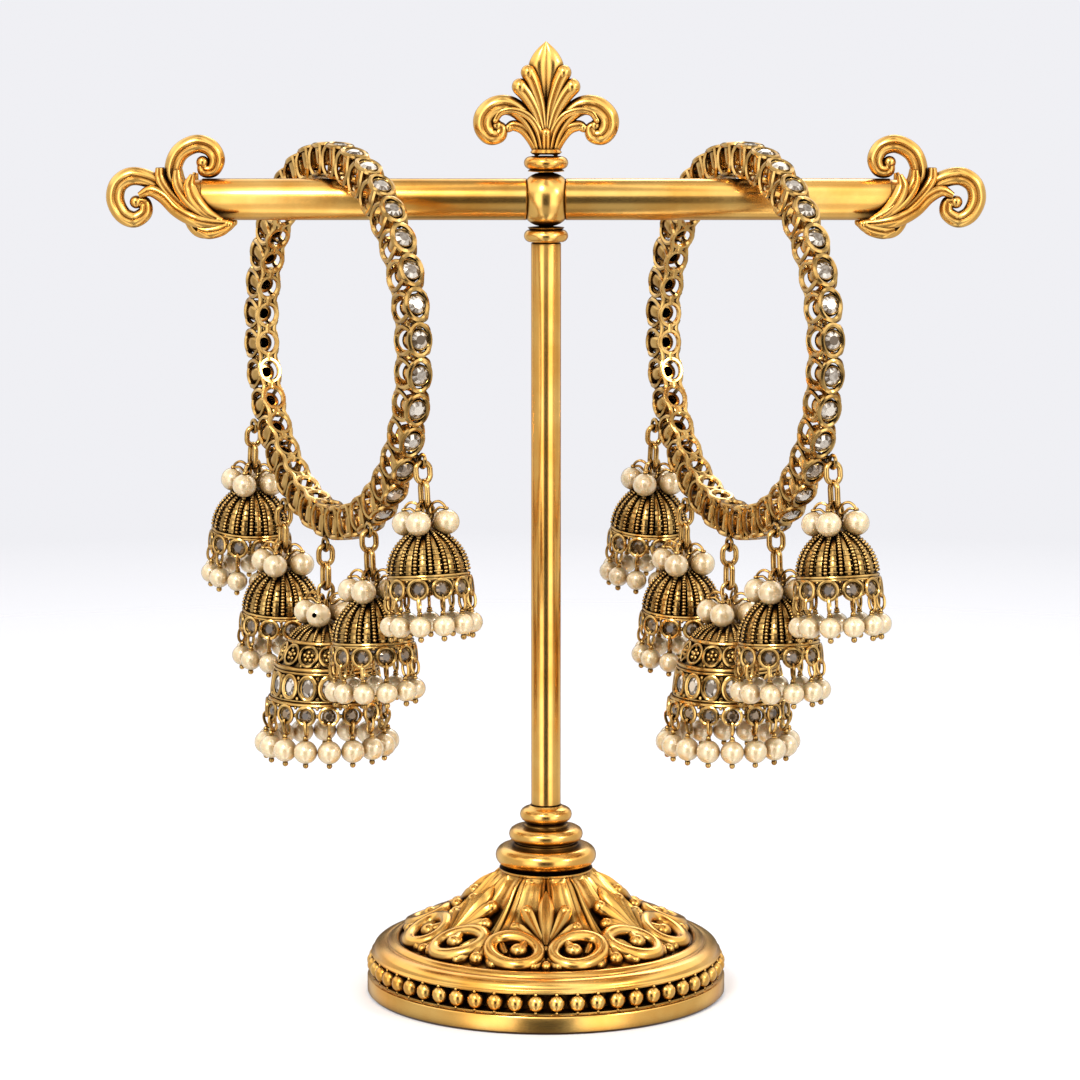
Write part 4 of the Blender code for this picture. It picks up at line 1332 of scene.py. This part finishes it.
class JHUMKA_OT_clusters(bpy.types.Operator):
    """Builds the four pearls over every dome, on loops of wire"""

    bl_idname = "jhumka.clusters"
    bl_label = "Pearl clusters"

    def execute(self, context):
        for kind in (SMALL_DROP, LARGE_DROP):
            plain, drilled = self.cluster(kind, False), self.cluster(kind, True)
            for name, place in hung(kind):
                form = drilled if name == DRILLED_DROP else plain
                finished(form, name + "cluster", name + "pearls", place)
            discard(plain, drilled)
        return {"FINISHED"}

    def cluster(self, kind, drilled):
        size = bangle_sizes()
        level = cluster_height(kind, size)
        pearl = Shape().ball((size.cluster_ring, 0, level), size.cluster_pearl, (1, 1, 0.97), 22)
        pearls = around(pearl, CLUSTER_PEARLS, finish_of("pearl_cream"), 0.5, 7)
        wires = around(self.wire(size, level), CLUSTER_PEARLS, finish_of("antique_gold"), 0.5)
        parts = [pearls, wires]
        if drilled:
            parts += self.drilled_pearl(size, level, pearls)
        return joined("cluster", parts)

    @staticmethod
    def drilled_pearl(size, level, pearls):
        """Puts a pearl with its drill hole to the front in place of a plain one, and sets a thin near-black
        sheet in the hole as painted shade.
        """
        radius, hole = size.cluster_pearl, size.drill_radius
        place = Matrix.Rotation(radians(DRILLED_TURN), 4, "Z")
        place @= Matrix.Translation((size.cluster_ring, 0, level))
        shape = bmesh.new()
        shape.from_mesh(pearls.data)
        plain = [corner for corner in shape.verts if (corner.co - place.translation).length < radius * 1.1]
        bmesh.ops.delete(shape, geom=plain, context="VERTS")
        shape.to_mesh(pearls.data)
        shape.free()
        place @= Matrix.Rotation(radians(90 - DRILLED_RISE), 4, "Y")
        foot = radius - size.drill_depth
        start = asin(hole / radius)
        arc = [start + (pi - start) * step / 16 for step in range(16)]
        skin = [(radius * sin(angle), radius * cos(angle)) for angle in arc]
        outline = [(0, foot), (hole, foot), *skin, (0, -radius)]
        pearl = Shape().turned(outline, 24, place=place).object("drilled", finish_of("pearl_cream"))
        tones = pearl.data.attributes.new("tone", "FLOAT", "POINT")
        for row in tones.data:
            row.value = 0.5
        # Painted shade: a thin near-black sheet lines the drill hole so that the hole reads dark
        half_wall, half_floor = 0.03, 0.1
        inside, outside = hole - half_wall, hole + half_wall
        rim = radius * cos(start) - 0.1
        outline = [(0, foot + half_floor), (inside, foot + half_floor), (inside, rim)]
        outline += [(outside, rim), (outside, foot - half_floor), (0, foot - half_floor)]
        lining = Shape().turned(outline, 24, place=place)
        return [pearl, lining.object("lining", finish_of("blackened_gold"))]

    @staticmethod
    def wire(size, level):
        """A head under the pearl, a seat over it and the loop to the bail."""
        ring, radius = size.cluster_ring, size.cluster_pearl
        top = level + radius
        shape = Shape()
        shape.ball((ring, 0, level - radius - 0.15), 0.5, steps=10)
        shape.ball((ring, 0, top + 0.1), 0.52, (1, 1, 0.7), 12)
        loop_wire = 0.26
        bends = ((0, 0), (0.35, 0.75), (1.2, 1.35), (2.2, 1.2), (3.0, 0.35), (2.9, -0.6), (2.2, -0.45))
        bends += ((1.3, 0.25), (0.3, 0.15))
        loop = [(ring - inwards, 0, top + up, loop_wire) for inwards, up in bends]
        shape.tube(smooth_path(loop, 4), 7)
        return shape


def tilted(reach, level, lean=0.0):
    """A place on a wall about Z at +X, its own X along the wall's run, Y up the wall and Z outwards."""
    facing = Matrix(((0, 0, 1, 0), (1, 0, 0, 0), (0, 1, 0, 0), (0, 0, 0, 1)))
    return Matrix.Translation((reach, 0, level)) @ Matrix.Rotation(-radians(lean), 4, "Y") @ facing


class JHUMKA_OT_domes(bpy.types.Operator):
    """Builds the bells: granulated domes, tiers of set stones, pierced skirts and bails"""

    bl_idname = "jhumka.domes"
    bl_label = "Domes"

    def execute(self, context):
        for label, kind, parts in (
            ("small", SMALL_DROP, self.small_bell),
            ("large", LARGE_DROP, self.large_bell),
        ):
            bell = joined(label + "_bell", parts(kind) + self.skirt(kind) + [self.bail(kind)])
            for name, place in hung(kind):
                finished(bell, name + "bell", name + "dome", place)
            discard(bell)
        return {"FINISHED"}

    @staticmethod
    def bail(kind):
        size = bangle_sizes()
        middle = kind.stem + (size.bail_length - size.bail_wire) / 2
        place = Matrix.Translation((0, 0, middle))
        shape = Shape().link(size.bail_length, size.bail_width, size.bail_wire, place)
        stem = [(0, kind.stem + 0.3), (0.5, kind.stem + 0.3), (0.75, kind.stem * 0.55), (0.6, 0.7)]
        stem += [(1.25, 0.45), (1.45, 0.1), (1.9, -0.25), (0, -0.5)]
        shape.turned(stem, 28)
        return shape.object("bail", finish_of("antique_gold"))

    @staticmethod
    def small_bell(kind):
        """A melon dome with beaded ribs in its grooves and notched panels, over a plain rim."""
        gold = finish_of("antique_gold")
        width, height = kind.tiers[-1]
        width -= 0.25
        ribs = 16

        def on_dome(degrees, lift=0.0):
            angle = radians(degrees)
            return (width + lift) * sin(angle), -(height + lift) * (1 - cos(angle)) + lift

        def carve(angle, reach, level):
            share = abs((angle * ribs / tau + 0.5) % 1 - 0.5)
            groove = exp(-(((share - 0.20) / 0.07) ** 2)) + 0.25 * max(1 - share / 0.2, 0)
            return 0.55 * groove * min(max(reach - 1.2, 0) / 2.5, 1)

        outer = [on_dome(degrees) for degrees in range(0, 91, 6)]
        inner = [(reach * (1 - 0.9 / width), level - 0.75) for reach, level in reversed(outer[::3])]
        shell = Shape().turned(outer + [(width - 0.1, -height - 0.45)] + inner, ribs * 10, carve)
        for radius, level, wire in ((width + 0.15, -height - 0.1, 0.3), (width + 0.2, -height - 0.6, 0.26)):
            shell.oval((0, 0, level), (radius, 0, 0), (0, radius, 0), wire, 66, 8)
        line = [on_dome(degrees, 0.16) for degrees in range(15, 87, 5)]
        rib = granulated([[(reach, 0, level) for reach, level in line]], 16, 0.42, gold, 0.74)
        beaded = repeated(rib, ribs, gold)
        panel = Shape()
        for degrees in range(52, 88, 8):
            reach, level = on_dome(degrees)
            half = reach * sin(pi / ribs) - 0.6
            if half > 0.1:
                bar = [(reach, -half, level, 0.12), (reach + 0.06, 0, level, 0.15)]
                bar += [(reach, half, level, 0.12)]
                panel.tube(bar, 5)
        return [shell.object("shell", gold), beaded, around(panel, ribs, gold, 0.5)]

    @staticmethod
    def large_bell(kind):
        """A ridged cap over a tier of flowers in rings and a tier of oval stones."""
        gold, dark = finish_of("antique_gold"), finish_of("blackened_gold")
        ridge_count, flower_count = 24, 13
        outline = [(0, -0.1), (3.0, -0.45), (5.2, -1.35), (6.6, -2.7), (6.7, -3.2), (7.2, -4.0), (8.2, -5.9)]
        outline += [(8.75, -7.4), (9.2, -8.0), (9.6, -11.0), (10.0, -13.6), (10.4, -14.2), (9.9, -14.2)]
        outline += [(9.5, -13.4), (9.1, -11.0), (8.6, -8.2), (7.8, -6.4), (6.4, -3.9), (5.0, -2.1), (0, -0.9)]
        shell = Shape().turned(outline, 80).object("shell", dark)
        rims = Shape()
        rings = [(6.9, -3.05, 0.4), (9.2, -7.6, 0.42), (9.5, -8.25, 0.26), (10.5, -13.95, 0.45)]
        rings += [(10.2, -13.3, 0.24)]
        for radius, level, wire in rings:
            rims.oval((0, 0, level), (radius, 0, 0), (0, radius, 0), wire, 80, 8)
        cap = ((1.7, 0, -0.16), (3.0, 0, -0.36), (5.2, 0, -1.2), (6.5, 0, -2.45))
        line = [tuple(point) for point in smooth_path(cap, 4)]
        ridges = repeated(granulated([line], 13, 0.33, gold, 0.8), ridge_count, gold)
        flower = Shape()
        wall = tilted(7.85, -5.3, 26)
        flower.oval((0, 0, 0.2), (1.74, 0, 0), (0, 1.9, 0), 0.3, 24, 7, wall)
        for step in range(5):
            angle = tau * step / 5 + pi / 2
            flower.ball((0.78 * cos(angle), 0.78 * sin(angle), 0.25), 0.4, (1, 1, 0.8), 10, wall)
        flower.ball((0, 0, 0.35), 0.44, steps=10, place=wall)
        dots = Shape()
        spots = [(8.85, -6.95, 0.34), (7.35, -3.85, 0.34), (9.65, -9.0, 0.4), (10.2, -12.75, 0.42)]
        spots += [(9.6, -9.7, 0.26)]
        for reach, level, radius in spots:
            dots.ball((reach, 0, level), radius, steps=7)
        side = tilted(9.7, -10.85, 8)
        oval = Shape().oval((0, 0, 0.15), (1.66, 0, 0), (0, 2.2, 0), 0.34, 26, 8, side)
        oval.oval((0, 0, 0.25), (1.3, 0, 0), (0, 1.82, 0), 0.16, 24, 6, side)
        stone = Shape().gem(side, 1.28, 1.8, 0.5, 0.34)
        return [
            rims.object("rims", gold),
            shell,
            ridges,
            around(flower, flower_count, gold),
            around(dots, kind.pearls, gold, 0.5),
            around(oval, kind.pearls, gold),
            around(stone, kind.pearls, finish_of("clear_stone"), seed=11, faceted=True),
        ]

    @staticmethod
    def skirt(kind):
        """The pierced skirt: a row of rings, each with its stone, with open gaps between them."""
        gold = finish_of("antique_gold")
        wide, tall = kind.cell_size
        place = tilted(kind.skirt_radius, -kind.cell_level, 4)
        cell = Shape().oval((0, 0, 0), (wide, 0, 0), (0, tall, 0), 0.32, 22, 7, place)
        rim = kind.cell_stone + 0.2
        cup = [(rim - 0.14, 0.06), (rim, -0.02), (rim - 0.04, -0.6), (rim - 0.5, -0.65), (rim - 0.28, -0.1)]
        cell.turned(cup, 18, loop=True, place=place)
        joint = Shape()
        half_step = kind.skirt_radius * cos(pi / kind.pearls)
        for lift, radius in ((0.0, 0.45), (tall - 0.25, 0.34)):
            joint.ball((half_step, 0, lift - kind.cell_level), radius, steps=8)
        stone = Shape().gem(place @ Matrix.Translation((0, 0, -0.16)), kind.cell_stone, kind.cell_stone, 0.5)
        return [
            around(cell, kind.pearls, gold),
            around(joint, kind.pearls, gold, 0.5),
            around(stone, kind.pearls, finish_of("smoky_stone"), seed=13, faceted=True),
        ]


class JHUMKA_OT_fringes(bpy.types.Operator):
    """Builds the fringes of pearls on wire hooks"""

    bl_idname = "jhumka.fringes"
    bl_label = "Pearl fringes"

    def execute(self, context):
        for label, kind in (("small", SMALL_DROP), ("large", LARGE_DROP)):
            ring, radius, level = kind.pearl_ring, kind.pearl_radius, -kind.pearl_drop
            pearl = Shape().ball((ring, 0, level), radius, (1, 1, 0.98), 18)
            pearls = around(pearl, kind.pearls, finish_of("pearl_cream"), seed=17)
            hooks = around(self.hook(kind), kind.pearls, finish_of("antique_gold"))
            fringe = joined(label + "_fringe", [pearls, hooks])
            for name, place in hung(kind):
                finished(fringe, name + "pearl_fringe", name + "fringe", place)
            discard(fringe)
        return {"FINISHED"}

    @staticmethod
    def hook(kind):
        """A wire loop from the skirt's ring, the small beads over the pearl and the head under it."""
        ring, radius = kind.pearl_ring, kind.pearl_radius
        top = -kind.pearl_drop + radius
        foot = -kind.cell_level - kind.cell_size[1]
        # The loop reaches round the ring's wire above, and down to the beads over the pearl
        over_ring, over_pearl = 0.62, 0.7
        shape = Shape()
        tall = (foot + over_ring - top - over_pearl) / 2
        middle = top + over_pearl + tall
        reach = kind.skirt_radius - 0.12
        shape.oval((reach, 0, middle), (0.66, 0, 0.05), (ring - reach, 0, tall), 0.29, 20, 7)
        shape.ball((ring, 0, top + 0.4), 0.5, (1, 1, 0.85), 8)
        shape.ball((ring, 0, top + 0.02), 0.6, (1, 1, 0.45), 8)
        shape.ball((ring, 0, -kind.pearl_drop - radius - 0.3), 0.56, steps=9)
        return shape


# Stage


# Places and sizes of the stage are in metres
FLOOR_RADIUS = 0.7
LAMP_AIM = (0, 0, 0.09)
CAMERA_SPOT = (-0.00111, -0.7143, 0.18677)
CAMERA_TILT = 8.1


class JHUMKA_OT_stage(bpy.types.Operator):
    """Sets the floor, the lights, the surroundings and the camera"""

    bl_idname = "jhumka.stage"
    bl_label = "Stage"

    def execute(self, context):
        context.scene.view_settings.view_transform = "Standard"
        self.floor()
        self.surroundings()
        self.lamp("key", (-0.55, -1.25, 1.25), 0.42, 12.0, (1.0, 0.95, 0.87))
        self.lamp("fill", (1.25, -0.95, 0.85), 0.30, 5.0, (1.0, 0.96, 0.90))
        self.lamp("back", (0.3, 1.30, 1.20), 0.60, 4.0, (1.0, 0.98, 0.95))
        self.camera()
        return {"FINISHED"}

    @staticmethod
    def floor():
        """A round pale floor that fades out into the surroundings."""
        shape = Shape()
        bmesh.ops.create_circle(shape.mesh, cap_ends=True, segments=64, radius=FLOOR_RADIUS)
        floor = shape.object("floor")
        paper = Finish("floor_paper", Specular_IOR_Level=0.2)
        fibre = paper.noise(9, 3)
        place = paper.node("ShaderNodeTexCoord", output="Object")
        reach = paper.node("ShaderNodeVectorMath", {"operation": "LENGTH"}, {0: place}, "Value")
        tone = bpy.context.scene.jhumka_finishes.floor
        darker = [level * 0.98 for level in tone]
        paper.feed(
            Base_Color=paper.mix(fibre, rgba(darker), rgba(tone)),
            Roughness=0.62 + fibre * 0.1,
            Alpha=paper.ramp(reach, (0.06, 1.0), (0.62, 0.0)),
        )
        paper.shader.inputs["Emission Color"].default_value = rgba(tone)
        paper.shader.inputs["Emission Strength"].default_value = 0.12
        floor.data.materials.append(paper.material)
        floor.visible_glossy = False
        floor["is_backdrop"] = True

    @staticmethod
    def surroundings():
        """A studio: bright overhead, two tall soft boxes in front, and dark between and behind them."""
        world = bpy.data.worlds.new("studio")
        bpy.context.scene.world = world
        world.use_nodes = True
        studio = Shading(world.node_tree)
        direction = studio.node("ShaderNodeTexCoord", output="Generated")
        parts = [studio.node("ShaderNodeSeparateXYZ", None, {"Vector": direction}, axis) for axis in "XYZ"]
        turn = studio.node("ShaderNodeMath", {"operation": "ARCTAN2"}, {0: parts[0], 1: 0 - parts[1]})
        share = studio.node("ShaderNodeMath", {"operation": "ABSOLUTE"}, {0: turn * (1 / pi)})
        boxes = studio.ramp(
            share, (0.0, 0.015), (0.09, 0.02), (0.125, 1.0), (0.24, 1.0), (0.31, 0.34), (0.60, 0.30),
            (0.70, 0.40), (0.84, 0.32), (0.92, 0.05), (1.0, 0.05),
        )
        height = parts[2] * 0.5 + 0.5
        overhead = studio.ramp(height, (0.65, 0.0), (0.70, 1.0), (0.84, 1.0), (0.91, 0.22), (1.0, 0.18))
        below = studio.ramp(height, (0.04, 0.10), (0.14, 0.70), (0.30, 0.70), (0.36, 0.05), (0.42, 0.0))
        level = boxes * (1 - overhead) * (1 - below) * 2.0 + overhead * 1.35 + below * 0.6
        seen = studio.node("ShaderNodeLightPath", output="Is Camera Ray")
        colour = studio.mix(seen, level, (0.87, 0.87, 0.905, 1))
        background = world.node_tree.nodes["Background"]
        world.node_tree.links.new(colour.socket, background.inputs["Color"])

    @staticmethod
    def lamp(name, spot, side, power, tint):
        light = bpy.data.lights.new(name, "AREA")
        light.shape = "SQUARE"
        light.size = side
        light.energy = power
        light.color = tint
        lamp = bpy.data.objects.new(name, light)
        bpy.context.scene.collection.objects.link(lamp)
        lamp.location = spot
        aim = Vector(LAMP_AIM) - Vector(spot)
        lamp.rotation_euler = aim.to_track_quat("-Z", "Y").to_euler()
        lamp.visible_camera = False

    @staticmethod
    def camera():
        """The photo's view: from just above the stand, tilted a little down, through a long lens."""
        lens = bpy.data.cameras.new("camera")
        lens.sensor_width = 36.0
        lens.lens = 130.0
        camera = bpy.data.objects.new("camera", lens)
        bpy.context.scene.collection.objects.link(camera)
        camera.location = CAMERA_SPOT
        camera.rotation_euler = (radians(90 - CAMERA_TILT), 0, 0)
        bpy.context.scene.camera = camera


OPERATORS = (
    JHUMKA_OT_foot,
    JHUMKA_OT_collar,
    JHUMKA_OT_frame,
    JHUMKA_OT_scrolls,
    JHUMKA_OT_finial,
    JHUMKA_OT_bands,
    JHUMKA_OT_chains,
    JHUMKA_OT_clusters,
    JHUMKA_OT_domes,
    JHUMKA_OT_fringes,
    JHUMKA_OT_stage,
)


class JHUMKA_PT_sidebar(bpy.types.Panel):
    """Lists the pieces and their sizes"""

    bl_label = "Jhumka bangles"
    bl_idname = "JHUMKA_PT_sidebar"
    bl_space_type = "VIEW_3D"
    bl_region_type = "UI"
    bl_category = "Jhumka"

    def draw(self, context):
        layout = self.layout
        for operator in OPERATORS:
            layout.operator(operator.bl_idname)
        for group in (context.scene.jhumka_stand, context.scene.jhumka_bangle, context.scene.jhumka_finishes):
            box = layout.box()
            for item in group.bl_rna.properties:
                if item.identifier not in {"rna_type", "name"}:
                    box.prop(group, item.identifier)


GROUPS = {
    "jhumka_stand": JHUMKA_PG_stand,
    "jhumka_bangle": JHUMKA_PG_bangle,
    "jhumka_finishes": JHUMKA_PG_finishes,
}


def register():
    for cls in (*GROUPS.values(), *OPERATORS, JHUMKA_PT_sidebar):
        bpy.utils.register_class(cls)
    for name, cls in GROUPS.items():
        setattr(bpy.types.Scene, name, PointerProperty(type=cls))


def unregister():
    for name in GROUPS:
        delattr(bpy.types.Scene, name)
    for cls in reversed((*GROUPS.values(), *OPERATORS, JHUMKA_PT_sidebar)):
        bpy.utils.unregister_class(cls)


def main():
    register()
    for operator in OPERATORS:
        family, name = operator.bl_idname.split(".")
        getattr(getattr(bpy.ops, family), name)()
    boxes = {"cad": CAD_BOX, "visual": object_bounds()}
    {label: [list(corner) for corner in box] for label, box in boxes.items()}


if __name__ == "__main__":
    main()
